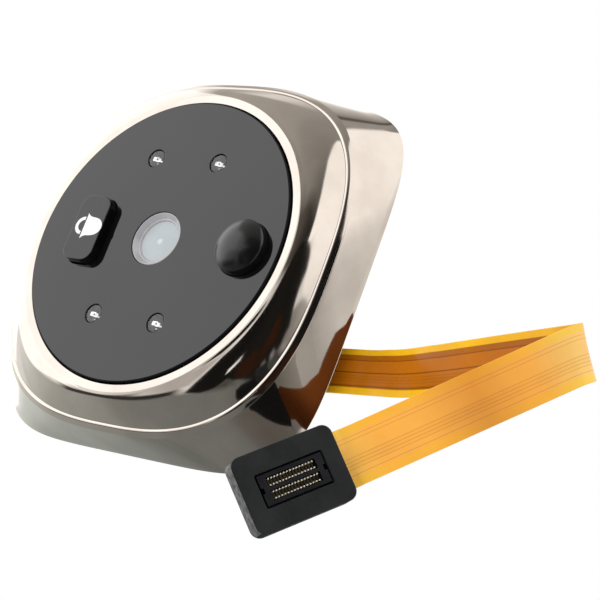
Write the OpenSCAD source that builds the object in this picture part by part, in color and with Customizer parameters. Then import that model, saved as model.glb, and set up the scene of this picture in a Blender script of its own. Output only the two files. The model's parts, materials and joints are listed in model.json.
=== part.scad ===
// Outdoor unit of a peephole door camera: a polished shell with a round black face that carries
// a doorbell button, a camera window, four infrared lamps and a motion dome, and a flat ribbon
// cable that leaves the back and ends in a plug.
// The origin is the centre of the back face that lies on the door. The face looks along -Y,
// +Z is up and +X is to the right seen from the front. Sizes are in millimetres.

/* [Shell] */
// Width and height across the back edge
base_w = 65.6; // [65:0.1:66.4]
// Depth from the door to the front of the face panel
body_d = 13.5; // [13.3:0.1:14]
// Corner reach of the back edge, 1 for a circle and 1.41 for a square
base_corner = 1.238; // [1.22:0.002:1.25]
// Height of the ledge above the door
ledge_h = 8.8; // [8.6:0.1:9]
// Half width of the ledge at its inner edge
ledge_s = 30.35; // [30.2:0.05:30.5]
// Corner reach of the ledge
ledge_corner = 1.098; // [1.09:0.002:1.11]
// Outer radius of the bright ring round the face panel
ring_r = 26.75; // [26.5:0.05:26.9]

/* [Face panel] */
// Diameter of the face panel
panel_d = 50; // [49.8:0.1:50.1]
// Thickness of the face panel
panel_t = 1.6; // [1.5:0.1:1.7]
// How far the panel stands in front of the ring
panel_proud = 0.4; // [0.3:0.1:0.6]
// Sideways place of each infrared lamp from the middle
lamp_x = 14.2; // [13.5:0.1:15]
// Upright place of each infrared lamp from the middle
lamp_z = 6.66; // [6.2:0.02:7]
// Radius of a lamp hole
lamp_hole_r = 1.65; // [1.6:0.05:1.8]
// Radius of the camera window's opening
window_r = 4.75; // [4.6:0.05:4.9]

/* [Doorbell button] */
// Width of the button
button_w = 11.7; // [11.3:0.1:12]
// Height of the button
button_h = 6.4; // [6:0.1:6.6]
// Corner radius of the button
button_r = 2; // [1.5:0.1:2.4]
// Sideways place of the button's middle
button_x = 0.1; // [0:0.1:0.3]
// Upright place of the button's middle
button_z = -14; // [-14.2:0.1:-13.6]
// How far the button stands in front of the face
button_proud = 1.65; // [1:0.05:2]
// Travel of the button when it is pressed
button_travel = 0.5; // [0.3:0.1:0.6]

/* [Motion dome] */
// Sideways place of the dome's middle
dome_x = 0.2; // [0:0.1:0.3]
// Upright place of the dome's middle
dome_z = 18.2; // [18:0.1:18.4]
// Radius of the dome at the face
dome_r = 4.6; // [4.5:0.05:4.7]
// Height of the dome's wall in front of the face
dome_wall = 1.5; // [1.2:0.1:1.7]
// Height of the dome's rounded cap
dome_cap = 1.7; // [1.4:0.1:1.9]

/* [Door fastening] */
// Distance between the two threaded inserts
insert_pitch = 24; // [23.6:0.1:24.4]
// Bore radius of a threaded insert, for a metric 4 bolt
insert_bore_r = 2; // [1.6:0.05:2]

/* [Ribbon and plug] */
// Width of the ribbon cable
ribbon_w = 7.5; // [7:0.1:7.8]
// Thickness of the ribbon cable
ribbon_t = 0.3; // [0.2:0.05:0.4]
// Length of the plug block
plug_l = 13.8; // [13:0.1:14.6]
// Width of the plug block
plug_w = 9.9; // [9.5:0.1:10.5]
// Thickness of the plug block
plug_t = 2.9; // [2.6:0.1:3.2]
// Contacts in one row of the plug
plug_pins = 15; // [10:1:15]

/* [Hidden] */
$fn = 48;

// Colours
c_shell = [0.62, 0.58, 0.54];
c_gloss = [0.05, 0.05, 0.055];
c_plastic = [0.12, 0.12, 0.125];
c_rubber = [0.2, 0.2, 0.2];
c_white = [0.95, 0.95, 0.95];
c_glass = [0.75, 0.8, 0.85];
c_board = [0.05, 0.3, 0.16];
c_steel = [0.72, 0.72, 0.74];
c_brass = [0.85, 0.68, 0.3];
c_amber = [0.9, 0.55, 0.12];

// Play between pieces that slide into each other, and between pieces that are pressed together
play = 0.15;
fit = 0.05;

// Heights above the door, from the back of the unit to its front
pad_t = 0.8;
cover_t = 1.6;
cover_top = pad_t + cover_t;
board_bottom = 6.3;
board_t = 1.2;
board_top = board_bottom + board_t;
panel_back = body_d - panel_t;
gasket_t = 0.5;
seat_top = panel_back - gasket_t;
ring_top = body_d - panel_proud;

// Shell
shell_steps = 84;
panel_r = panel_d / 2;
lip_r = panel_r + play;
lip_bottom = seat_top;
edge_round = 0.3;
ring_drop = 0.2;
flank_lead = 0.4;
flank_first = 1.5;
ledge_flat = 0.3;
ledge_round = 0.8;
skirt_top = ledge_h - ledge_round;
skirt_s = ledge_s + ledge_flat + ledge_round;
skirt_parts = 5;
flank_parts = 4;
wall_t = 1.4;
rim_t = 1.1;
step_corner = 1.18;
rim_corner = 1.215;

// Inner frame
frame_in_r = 23.8;
frame_out_r = 25.9;
frame_base = 7.7;
frame_flange_r = 27.4;
frame_flange_t = 1;
post_reach = 27.8;
post_r = 2.4;
post_top = 8.2;
boss_reach = 22.2;
boss_r = 2.3;
boss_top = 10.3;
pilot_r = 0.9;
pilot_end = 0.5;
screw_r = 0.85;
screw_head_r = 1.9;
screw_head_t = 0.8;
screw_hole_r = 1.1;
cross_l = 2.2;
cross_w = 0.4;
board_screw_l = 3.4;
cover_screw_l = 5.4;
corner_angles = [45 : 90 : 315];

// Button and switch
button_flange = 1.2;
button_flange_t = 1;
button_flange_top = panel_back - 0.2;
button_stem_r = 1.6;
button_gap = 0.15;
seal_wall = 0.9;
seal_t = 1;
switch_w = 6;
switch_t = 2;
plunger_r = 1.75;
plunger_top = 10.2;
plunger_bottom = 8.6;
switch_floor = 7.9;
dome_rise = 0.5;
snap_t = 0.12;
mark_t = 0.06;
bell_x = -0.2;
bell_mouth_w = 4.6;
bell_round = 1.62;
bell_mouth_z = -0.6;
bell_round_z = 1.6;
clapper_out = 1.6;
clapper_in = 1;
clapper_gap = 0.3;

// Camera module
window_step_r = 4;
window_step_t = 0.3;
window_sunk = 0.1;
window_rim = 0.15;
window_floor_r = 3.95;
window_floor_t = 0.4;
board_cut = 12;
module_w = 15.5;
module_t = 0.8;
spacer_t = 0.6;
module_bottom = board_bottom - spacer_t - module_t;
module_top = module_bottom + module_t;
holder_w = 11;
holder_t = 2.3;
holder_tube_r = 4.6;
holder_top = 9.8;
chamber_w = 8;
chamber_t = 0.9;
barrel_r = 3.5;
barrel_bottom = 6.8;
barrel_top = panel_back - 0.6;
barrel_flange_r = 4.3;
barrel_flange_t = 1.1;
lens_seat_r = 2.9;
lens_seat_t = 1.4;
rear_seat_r = 2.4;
stop_r = 1.6;
front_lens_curve = 5;
rear_lens_curve = 4;
rear_lens_t = 1.1;
baffle_in_r = 3.6;
baffle_out_r = 5;
sensor_l = 5.6;
sensor_w = 4.4;
sensor_t = 0.6;

// Motion sensor under the dome
dome_sleeve = 0.9;
dome_shoulder_r = 4.5;
dome_parts = 8;
pir_can_r = 3.3;
pir_can_top = 12;
pir_base_r = 3.7;
pir_base_t = 0.4;
pir_lead_reach = 2;
lead_r = 0.22;
lead_hole_r = 0.4;
lead_end = 5.9;

// Lamps
lamp_r = 1.5;
lamp_flange_r = 1.8;
lamp_bottom = 8.2;
lamp_flange_t = 0.8;
lamp_sunk = 0.1;
lamp_cap = 0.3;
lamp_parts = 5;
lamp_lead_half = 1.27;

// Boards
board_r = 24.5;

// Door fastening
insert_r = 2.7;
insert_end = 5.4;
insert_boss_r = 3.9;
insert_boss_top = 5.6;
pad_s = 28.5;
pad_corner = 1.2;
cover_s = base_w / 2 - rim_t - 2 * play;
cover_corner = 1.2;
pad_gap = 0.7;

// Ribbon route: the middle of the ribbon, then the direction of its width at that place
ribbon_x = 14.5;
ribbon_z = -2;
socket_bottom = 4;
ribbon_route = [
    [[ribbon_x, -socket_bottom, ribbon_z], [1, 0, 0]],
    [[ribbon_x, -1.5, ribbon_z], [1, 0, 0]],
    [[14.5, 0.5, -1.9], [1, 0, 0]],
    [[14.5, 2, -1.3], [1, 0, 0]],
    [[14.4, 3.1, -0.1], [1, 0, 0.02]],
    [[14.3, 3.5, 1.8], [1, 0, 0.05]],
    [[14, 3.5, 5], [1, 0, 0.08]],
    [[13.4, 3.5, 12], [1, 0, 0.09]],
    [[12.8, 3.5, 18], [1, 0, 0.09]],
    [[12.3, 3.5, 24], [1, 0, 0.09]],
    [[11.7, 3.5, 30], [1, 0, 0.09]],
    [[11.2, 3.5, 36], [1, 0, 0.09]],
    [[10.9, 3.4, 39], [0.99, 0.07, 0.1]],
    [[10.7, 3, 42], [0.98, 0.16, 0.11]],
    [[10.5, 2.2, 45], [0.95, 0.28, 0.14]],
    [[10.5, 1, 47.5], [0.92, 0.36, 0.18]],
    [[10.6, -0.5, 50.1], [0.9, 0.4, 0.2]],
    [[10.8, -2.3, 53], [0.89, 0.41, 0.2]],
    [[11.3, -8, 62.1], [0.89, 0.41, 0.2]],
    [[11.8, -13.6, 71.1], [0.89, 0.41, 0.2]],
    [[12.2, -18, 78.2], [0.89, 0.41, 0.2]],
    [[12.5, -21, 83], [0.89, 0.41, 0.2]],
    [[12.6, -22.3, 85], [0.88, 0.43, 0.22]],
    [[12.9, -23.4, 86.1], [0.82, 0.48, 0.31]],
    [[13.4, -24.4, 86.4], [0.77, 0.49, 0.41]],
    [[14.1, -25.3, 86.2], [0.74, 0.44, 0.51]],
    [[15, -26, 85.5], [0.73, 0.38, 0.57]],
    [[16.6, -26.8, 84], [0.73, 0.36, 0.58]],
    [[20.7, -28.8, 80.1], [0.73, 0.36, 0.58]],
    [[24.8, -30.8, 76.2], [0.73, 0.36, 0.58]],
    [[28.9, -32.8, 72.3], [0.73, 0.36, 0.58]],
    [[33, -34.8, 68.4], [0.73, 0.36, 0.58]],
    [[35, -35.8, 66.5], [0.73, 0.37, 0.575]],
    [[35.7, -36.2, 65.9], [0.73, 0.43, 0.53]],
    [[36.3, -36.7, 65.5], [0.73, 0.46, 0.505]]
];
ribbon_smooth = 2;
slot_l = 9.8;
slot_w = 4.2;
slot_r = 1.4;
grommet_lip = 0.7;

// Plug
plug_r = 1.3;
plug_middle = plug_t / 2;
pocket_l = 9.2;
pocket_w = 4.3;
pocket_d = 1.3;
connector_l = 8.8;
connector_w = 3.8;
connector_t = 1.2;
connector_floor = 0.5;
contact_pitch = 0.43;
contact_row = 0.82;
contact_t = 0.2;
contact_top = 1.05;
end_notch = 0.7;

// Power of the rounded-square outline that has this corner reach
function power_of(corner) = 1 / (0.5 - ln(corner) / ln(2));

// Radius of the rounded-square outline in one direction
function outline_r(half, corner, angle) =
    let (p = power_of(corner))
    half / pow(pow(abs(cos(angle)), p) + pow(abs(sin(angle)), p), 1 / p);

// Rounded-square outline seen from the front
function outline(half, corner) = [
    for (k = [0 : shell_steps - 1])
        let (a = 360 * k / shell_steps)
        outline_r(half, corner, a) * [cos(a), sin(a)]
];

// Stations round the shell's wall, each a height, a half width and a corner reach:
// up the skirt, over the ledge and the flank to the ring, and back down the inside
skirt = [
    for (k = [0 : skirt_parts])
        let (u = 1 - k / skirt_parts)
        [skirt_top * (1 - u), skirt_s + (base_w / 2 - skirt_s) * u,
            ledge_corner + (base_corner - ledge_corner) * u]
];
ledge = [
    [ledge_h - 0.3 * ledge_round, skirt_s - 0.3 * ledge_round, ledge_corner],
    [ledge_h, skirt_s - ledge_round, ledge_corner],
    [ledge_h, ledge_s, ledge_corner]
];
flank_rise = ring_top - ring_drop - ledge_h;
flank = [
    for (k = [flank_parts - 1 : -1 : 0])
        let (v = k / flank_parts, r = ring_r + flank_lead)
        [ring_top - ring_drop - flank_first * v - (flank_rise - flank_first) * v * v,
            r + (ledge_s - r) * v, 1 + (ledge_corner - 1) * v]
];
ring = [
    [ring_top, ring_r, 1],
    [ring_top, lip_r + edge_round, 1],
    [ring_top - edge_round, lip_r, 1]
];
inside = [
    [lip_bottom, lip_r, 1],
    [lip_bottom, frame_out_r + play, 1],
    [skirt_top, ledge_s - wall_t - play, ledge_corner],
    [cover_top, base_w / 2 - wall_t - rim_t, step_corner],
    [cover_top, base_w / 2 - rim_t - play, rim_corner],
    [0, base_w / 2 - rim_t, base_corner]
];
shell_stations = concat(skirt, ledge, flank, ring, inside);

// Smooth curve through a list of points, between points i and i + 1
function curve_at(points, i, t) =
    let (
        n = len(points) - 1,
        a = points[max(0, i - 1)],
        b = points[i],
        c = points[min(n, i + 1)],
        d = points[min(n, i + 2)]
    )
    0.5 * (2 * b + (c - a) * t + (2 * a - 5 * b + 4 * c - d) * t * t + (3 * b - a - 3 * c + d) * t * t * t);

function smooth_line(points, parts) = concat(
    [for (i = [0 : len(points) - 2], k = [0 : parts - 1]) curve_at(points, i, k / parts)],
    [points[len(points) - 1]]
);

function unit(v) = v / norm(v);

ribbon_line = smooth_line([for (row = ribbon_route) row[0]], ribbon_smooth);
ribbon_across = smooth_line([for (row = ribbon_route) row[1]], ribbon_smooth);
ribbon_last = len(ribbon_line) - 1;

function ribbon_along(i) =
    unit(ribbon_line[min(ribbon_last, i + 1)] - ribbon_line[max(0, i - 1)]);

function ribbon_side(i) =
    let (d = ribbon_along(i), w = ribbon_across[i])
    unit(w - (w * d) * d);

// Flat section of the ribbon with its long edges broken
ribbon_section = let (a = ribbon_w / 2, b = ribbon_t / 2, e = ribbon_t / 4) [
    [a, -e], [a, e], [a - e, b], [-a + e, b], [-a, e], [-a, -e], [-a + e, -b], [a - e, -b]
];
ribbon_sides = len(ribbon_section);

echo(ribbon_length = [for (i = [1 : ribbon_last]) norm(ribbon_line[i] - ribbon_line[i - 1])]
    * [for (i = [1 : ribbon_last]) 1]);

// Places the children at a height above the door, drawn as seen from the front
module at_height(h) {
    translate([0, -h, 0]) rotate([90, 0, 0]) children();
}

// A plate between two heights, drawn as seen from the front
module plate(bottom, top) {
    at_height(bottom) linear_extrude(top - bottom) children();
}

// A round bar between two heights, at a place on the face
module bar(x, z, r, bottom, top) {
    at_height(bottom) translate([x, z, 0]) cylinder(r = r, h = top - bottom);
}

module rounded_rect(w, h, r) {
    square([w - 2 * r, h], center = true);
    square([w, h - 2 * r], center = true);
    for (x = [-1, 1], y = [-1, 1])
        translate([x * (w / 2 - r), y * (h / 2 - r)]) circle(r = r);
}

module at_corners(reach) {
    for (a = corner_angles)
        translate([reach * cos(a), reach * sin(a)]) children();
}

module at_lamps() {
    for (x = [-lamp_x, lamp_x], z = [-lamp_z, lamp_z])
        translate([x, z]) children();
}

module at_inserts() {
    for (z = [-insert_pitch / 2, insert_pitch / 2])
        translate([0, z]) children();
}

module at_pir_leads() {
    for (a = [0, 90, 180])
        translate([dome_x + pir_lead_reach * cos(a), dome_z + pir_lead_reach * sin(a)]) children();
}

// A pan-head screw along the local axis, head up to height 0 and shank above it
module screw(length) {
    translate([0, 0, -screw_head_t]) cylinder(r = screw_head_r, h = screw_head_t);
    cylinder(r = screw_r, h = length);
}

module screw_cross() {
    for (a = [0, 90])
        rotate([0, 0, a])
            translate([0, 0, -screw_head_t]) cube([cross_l, cross_w, screw_head_t], center = true);
}

// Frame of the plug: x runs on along the ribbon, y across it, z out of the contacts
module at_plug() {
    u = ribbon_along(ribbon_last);
    v = ribbon_side(ribbon_last);
    n = cross(u, v);
    o = ribbon_line[ribbon_last];
    multmatrix([
        [u[0], v[0], n[0], o[0]],
        [u[1], v[1], n[1], o[1]],
        [u[2], v[2], n[2], o[2]],
        [0, 0, 0, 1]
    ]) children();
}

module housing_shell() {
    count = len(shell_stations);
    points = [
        for (s = shell_stations, k = [0 : shell_steps - 1])
            let (a = 360 * k / shell_steps, r = outline_r(s[1], s[2], a))
            [r * cos(a), -s[0], r * sin(a)]
    ];
    faces = [
        for (i = [0 : count - 1], k = [0 : shell_steps - 1], half = [0, 1])
            let (
                j = (i + 1) % count,
                m = (k + 1) % shell_steps,
                a = i * shell_steps + k,
                b = i * shell_steps + m,
                c = j * shell_steps + m,
                d = j * shell_steps + k
            )
            half == 0 ? [a, c, b] : [a, d, c]
    ];
    color(c_shell) polyhedron(points, faces);
}

module inner_frame() {
    color(c_plastic) difference() {
        union() {
            at_height(0) rotate_extrude($fn = 96) polygon([
                [frame_in_r, frame_base],
                [frame_flange_r, frame_base],
                [frame_flange_r, frame_base + frame_flange_t],
                [frame_out_r, frame_base + frame_flange_t],
                [frame_out_r, seat_top],
                [frame_in_r, seat_top]
            ]);
            plate(cover_top, post_top) at_corners(post_reach) circle(r = post_r);
            plate(board_top, boss_top) at_corners(boss_reach) circle(r = boss_r);
        }
        plate(cover_top - 1, post_top - pilot_end) at_corners(post_reach) circle(r = pilot_r);
        plate(board_top - 1, boss_top - pilot_end) at_corners(boss_reach) circle(r = pilot_r);
    }
}

module face_panel() {
    color(c_gloss) difference() {
        plate(panel_back, body_d) circle(r = panel_r, $fn = 96);
        plate(panel_back - 1, body_d + 1) {
            translate([button_x, button_z])
                rounded_rect(button_w + 2 * button_gap, button_h + 2 * button_gap, button_r + button_gap);
            at_lamps() circle(r = lamp_hole_r);
            translate([dome_x, dome_z]) circle(r = dome_r + fit);
            circle(r = window_step_r);
        }
        plate(panel_back + window_step_t, body_d + 1) circle(r = window_r);
    }
}

module panel_gasket() {
    color(c_rubber) plate(seat_top, panel_back) difference() {
        circle(r = panel_r - play, $fn = 96);
        circle(r = frame_in_r + play, $fn = 96);
    }
}

module doorbell_button() {
    flange_bottom = button_flange_top - button_flange_t;
    color(c_gloss) {
        plate(flange_bottom, body_d + button_proud)
            translate([button_x, button_z]) rounded_rect(button_w, button_h, button_r);
        plate(flange_bottom, button_flange_top)
            translate([button_x, button_z])
                rounded_rect(button_w + 2 * button_flange, button_h + 2 * button_flange, button_r + button_flange);
        bar(button_x, button_z, button_stem_r, plunger_top + fit, flange_bottom);
    }
}

module bell_mark() {
    top = body_d + button_proud;
    color(c_white) plate(top, top + mark_t) translate([button_x + bell_x, button_z]) {
        translate([0, bell_round_z]) circle(r = bell_round);
        polygon([
            [-bell_mouth_w / 2, bell_mouth_z],
            [bell_mouth_w / 2, bell_mouth_z],
            [bell_round, bell_round_z],
            [-bell_round, bell_round_z]
        ]);
        intersection() {
            translate([0, bell_mouth_z - clapper_gap]) difference() {
                circle(r = clapper_out);
                circle(r = clapper_in);
            }
            translate([-clapper_out, bell_mouth_z - clapper_gap - clapper_out])
                square([2 * clapper_out, clapper_out]);
        }
    }
}

module button_seal() {
    grow = 2 * (button_flange + button_gap);
    color(c_rubber) plate(panel_back - seal_t, panel_back) translate([button_x, button_z]) difference() {
        rounded_rect(button_w + grow + 2 * seal_wall, button_h + grow + 2 * seal_wall, button_r + grow / 2);
        rounded_rect(button_w + grow, button_h + grow, button_r + grow / 2 - 0.3);
    }
}

module switch_body() {
    color(c_plastic) difference() {
        plate(board_top, board_top + switch_t)
            translate([button_x, button_z]) square(switch_w, center = true);
        bar(button_x, button_z, plunger_r + play, switch_floor, board_top + switch_t + 1);
    }
}

module switch_plunger() {
    color(c_white) bar(button_x, button_z, plunger_r, plunger_bottom, plunger_top);
}

module snap_dome() {
    r = plunger_r;
    curve = (r * r + dome_rise * dome_rise) / (2 * dome_rise);
    color(c_steel) at_height(switch_floor) translate([button_x, button_z, 0]) difference() {
        translate([0, 0, dome_rise - curve]) sphere(r = curve);
        translate([0, 0, dome_rise - curve]) sphere(r = curve - snap_t);
        translate([0, 0, -2 * curve]) cylinder(r = 2 * curve, h = 2 * curve);
    }
}

module lens_window() {
    bottom = panel_back + window_step_t;
    rim_r = window_r - fit;
    color(c_glass) at_height(0) rotate_extrude() polygon([
        [0, bottom],
        [rim_r, bottom],
        [rim_r, body_d - window_sunk],
        [rim_r - window_rim, body_d - window_sunk],
        [window_floor_r, bottom + window_floor_t],
        [0, bottom + window_floor_t]
    ]);
}

module light_baffle() {
    color(c_rubber) plate(barrel_top, panel_back) difference() {
        circle(r = baffle_out_r);
        circle(r = baffle_in_r);
    }
}

module lens_barrel() {
    color(c_plastic) at_height(0) rotate_extrude() polygon([
        [rear_seat_r, barrel_bottom],
        [barrel_r, barrel_bottom],
        [barrel_r, barrel_top - barrel_flange_t],
        [barrel_flange_r, barrel_top - barrel_flange_t],
        [barrel_flange_r, barrel_top],
        [lens_seat_r, barrel_top],
        [lens_seat_r, barrel_top - lens_seat_t],
        [stop_r, barrel_top - lens_seat_t],
        [stop_r, barrel_bottom + rear_lens_t],
        [rear_seat_r, barrel_bottom + rear_lens_t]
    ]);
}

module front_lens() {
    color(c_glass) at_height(barrel_top - lens_seat_t) intersection() {
        cylinder(r = lens_seat_r - fit, h = lens_seat_t);
        translate([0, 0, lens_seat_t - front_lens_curve]) sphere(r = front_lens_curve);
    }
}

module rear_lens() {
    color(c_glass) at_height(barrel_bottom) intersection() {
        cylinder(r = rear_seat_r - fit, h = rear_lens_t);
        translate([0, 0, rear_lens_curve]) sphere(r = rear_lens_curve);
    }
}

module lens_holder() {
    color(c_plastic) difference() {
        union() {
            plate(module_top, module_top + holder_t) square(holder_w, center = true);
            bar(0, 0, holder_tube_r, module_top, holder_top);
        }
        plate(module_top - 1, module_top + chamber_t) square(chamber_w, center = true);
        bar(0, 0, barrel_r + fit, module_top, holder_top + 1);
    }
}

module image_sensor() {
    color(c_plastic) plate(module_top, module_top + sensor_t) square([sensor_l, sensor_w], center = true);
}

module sensor_board() {
    color(c_board) plate(module_bottom, module_top) square(module_w, center = true);
}

module module_spacer() {
    color(c_rubber) plate(module_top, board_bottom) difference() {
        square(module_w, center = true);
        square(board_cut + 2 * play, center = true);
    }
}

module pir_dome() {
    wall_top = body_d + dome_wall;
    curve = (dome_shoulder_r * dome_shoulder_r + dome_cap * dome_cap) / (2 * dome_cap);
    reach = asin(dome_shoulder_r / curve);
    bore_r = pir_can_r + play;
    foot = panel_back - dome_sleeve;
    // the cap from its shoulder to its crown, as short straight steps
    cap_line = [
        for (k = [1 : dome_parts])
            let (turn = reach * (1 - k / dome_parts))
                [curve * sin(turn), wall_top + dome_cap - curve * (1 - cos(turn))]
    ];
    color(c_gloss) at_height(0) translate([dome_x, dome_z, 0]) rotate_extrude() polygon(concat(
        [[bore_r, foot], [dome_r, foot], [dome_r, body_d], [dome_shoulder_r, wall_top]],
        cap_line,
        [[0, wall_top], [bore_r, wall_top]]
    ));
}

module pir_sensor() {
    color(c_steel) {
        bar(dome_x, dome_z, pir_can_r, board_top + pir_base_t, pir_can_top);
        bar(dome_x, dome_z, pir_base_r, board_top, board_top + pir_base_t);
        plate(lead_end, board_top) at_pir_leads() circle(r = lead_r);
    }
}

module ir_lamps() {
    top = body_d - lamp_sunk - lamp_bottom;
    curve = (lamp_r * lamp_r + lamp_cap * lamp_cap) / (2 * lamp_cap);
    reach = asin(lamp_r / curve);
    cap_line = [
        for (k = [1 : lamp_parts])
            let (turn = reach * (1 - k / lamp_parts))
                [curve * sin(turn), top - curve * (1 - cos(turn))]
    ];
    color(c_glass) at_height(lamp_bottom) at_lamps() rotate_extrude() polygon(concat(
        [[0, 0], [lamp_flange_r, 0], [lamp_flange_r, lamp_flange_t], [lamp_r, lamp_flange_t]],
        [[lamp_r, top - lamp_cap]],
        cap_line
    ));
}

module lamp_leads() {
    color(c_steel) plate(lead_end, lamp_bottom) at_lamps()
        for (x = [-lamp_lead_half, lamp_lead_half])
            translate([x, 0]) circle(r = lead_r);
}

module main_board() {
    color(c_board) plate(board_bottom, board_top) difference() {
        circle(r = board_r, $fn = 96);
        square(board_cut, center = true);
        at_corners(boss_reach) circle(r = screw_hole_r);
        at_pir_leads() circle(r = lead_hole_r);
        at_lamps()
            for (x = [-lamp_lead_half, lamp_lead_half])
                translate([x, 0]) circle(r = lead_hole_r);
    }
}

// A chip on the back of the main board
module chip(x, z, w, h, t) {
    plate(board_bottom - t, board_bottom) translate([x, z]) square([w, h], center = true);
}

module board_chips() {
    color(c_plastic) {
        chip(-14, -1, 8, 8, 1);
        chip(-10, 11.5, 5, 6, 0.9);
        chip(10.5, 12, 5, 4, 0.9);
        chip(-9.5, -12.5, 4, 5, 1.1);
        for (k = [0 : 3])
            chip(9 + 2.2 * k, -12, 1.2, 2, 0.8);
    }
}

module ribbon_socket() {
    color(c_white) plate(socket_bottom, board_bottom)
        translate([ribbon_x, ribbon_z]) square([slot_l + 0.6, slot_w], center = true);
}

module board_screws() {
    color(c_steel) at_height(board_bottom) at_corners(boss_reach) difference() {
        screw(board_screw_l);
        screw_cross();
    }
}

module back_cover() {
    color(c_plastic) difference() {
        union() {
            plate(pad_t, cover_top) polygon(outline(cover_s, cover_corner));
            plate(pad_t, insert_boss_top) at_inserts() circle(r = insert_boss_r);
        }
        plate(pad_t - 1, cover_top + 1) {
            at_corners(post_reach) circle(r = screw_hole_r);
            translate([ribbon_x, ribbon_z]) rounded_rect(slot_l, slot_w, slot_r);
        }
        plate(pad_t - 1, pad_t + screw_head_t) at_corners(post_reach) circle(r = screw_head_r + play);
        plate(pad_t - 1, insert_boss_top + 1) at_inserts() circle(r = insert_r + fit);
    }
}

module cover_screws() {
    color(c_steel) at_height(pad_t + screw_head_t) at_corners(post_reach) difference() {
        screw(cover_screw_l);
        screw_cross();
    }
}

module threaded_inserts() {
    color(c_brass) plate(pad_t, insert_end) at_inserts() difference() {
        circle(r = insert_r);
        circle(r = insert_bore_r);
    }
}

module ribbon_grommet() {
    color(c_rubber) difference() {
        union() {
            plate(pad_t, cover_top) translate([ribbon_x, ribbon_z])
                rounded_rect(slot_l - 2 * fit, slot_w - 2 * fit, slot_r - fit);
            plate(cover_top, cover_top + grommet_lip) translate([ribbon_x, ribbon_z])
                rounded_rect(slot_l + 1.2, slot_w + 1.2, slot_r);
        }
        plate(pad_t - 1, cover_top + 2) translate([ribbon_x, ribbon_z])
            square([ribbon_w + 0.5, 3 * ribbon_t], center = true);
    }
}

module mounting_pad() {
    color(c_rubber) plate(0, pad_t) difference() {
        polygon(outline(pad_s, pad_corner));
        at_corners(post_reach) circle(r = screw_head_r + pad_gap);
        at_inserts() circle(r = insert_r + pad_gap);
        translate([ribbon_x, ribbon_z])
            rounded_rect(slot_l + 2 * pad_gap, slot_w + 2 * pad_gap, slot_r + pad_gap);
    }
}

module ribbon_cable() {
    points = [
        for (i = [0 : ribbon_last], s = ribbon_section)
            let (v = ribbon_side(i), n = cross(ribbon_along(i), v))
            ribbon_line[i] + s[0] * v + s[1] * n
    ];
    walls = [
        for (i = [0 : ribbon_last - 1], k = [0 : ribbon_sides - 1], half = [0, 1])
            let (
                m = (k + 1) % ribbon_sides,
                a = i * ribbon_sides + k,
                b = i * ribbon_sides + m,
                c = a + ribbon_sides,
                d = b + ribbon_sides
            )
            half == 0 ? [a, d, b] : [a, c, d]
    ];
    first_end = [for (k = [1 : ribbon_sides - 2]) [0, k, k + 1]];
    last_ring = ribbon_last * ribbon_sides;
    second_end = [for (k = [1 : ribbon_sides - 2]) [last_ring, last_ring + k + 1, last_ring + k]];
    color(c_amber) polyhedron(points, concat(walls, first_end, second_end));
}

module plug_block() {
    color(c_plastic) at_plug() difference() {
        translate([plug_l / 2, 0, -plug_middle]) linear_extrude(plug_t) rounded_rect(plug_l, plug_w, plug_r);
        translate([plug_l / 2, 0, plug_middle - pocket_d])
            linear_extrude(pocket_d + 1) square([pocket_l, pocket_w], center = true);
    }
}

module plug_connector() {
    color(c_gloss) at_plug() translate([plug_l / 2, 0, plug_middle - pocket_d]) difference() {
        linear_extrude(connector_t) difference() {
            square([connector_l, connector_w], center = true);
            for (x = [-1, 1])
                translate([x * connector_l / 2, 0]) square([end_notch, end_notch], center = true);
        }
        for (y = [-1, 1])
            translate([0, y * contact_row, connector_floor])
                linear_extrude(connector_t)
                    square([plug_pins * contact_pitch + 0.3, contact_row + 2 * contact_t], center = true);
    }
}

module plug_contacts() {
    half = contact_row / 2;
    color(c_brass) at_plug() translate([plug_l / 2, 0, plug_middle - pocket_d + connector_floor])
        for (k = [0 : plug_pins - 1], y = [-contact_row, contact_row])
            translate([(k - (plug_pins - 1) / 2) * contact_pitch, y, 0]) rotate([90, 0, 90])
                translate([0, 0, -contact_t / 2]) linear_extrude(contact_t) difference() {
                    translate([-half - contact_t / 2, 0])
                        square([2 * half + contact_t, contact_top - connector_floor]);
                    translate([-half + contact_t / 2, contact_t])
                        square([2 * half - contact_t, contact_top]);
                }
}

housing_shell();
inner_frame();
face_panel();
panel_gasket();
doorbell_button();
bell_mark();
button_seal();
switch_body();
switch_plunger();
snap_dome();
lens_window();
light_baffle();
lens_barrel();
front_lens();
rear_lens();
lens_holder();
image_sensor();
sensor_board();
module_spacer();
pir_dome();
pir_sensor();
ir_lamps();
lamp_leads();
main_board();
board_chips();
ribbon_socket();
board_screws();
back_cover();
cover_screws();
threaded_inserts();
ribbon_grommet();
mounting_pad();
ribbon_cable();
plug_block();
plug_connector();
plug_contacts();
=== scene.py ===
import json
import math

import bmesh
import bpy
from bpy.props import FloatProperty, FloatVectorProperty, PointerProperty
from mathutils import Matrix, Vector


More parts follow.
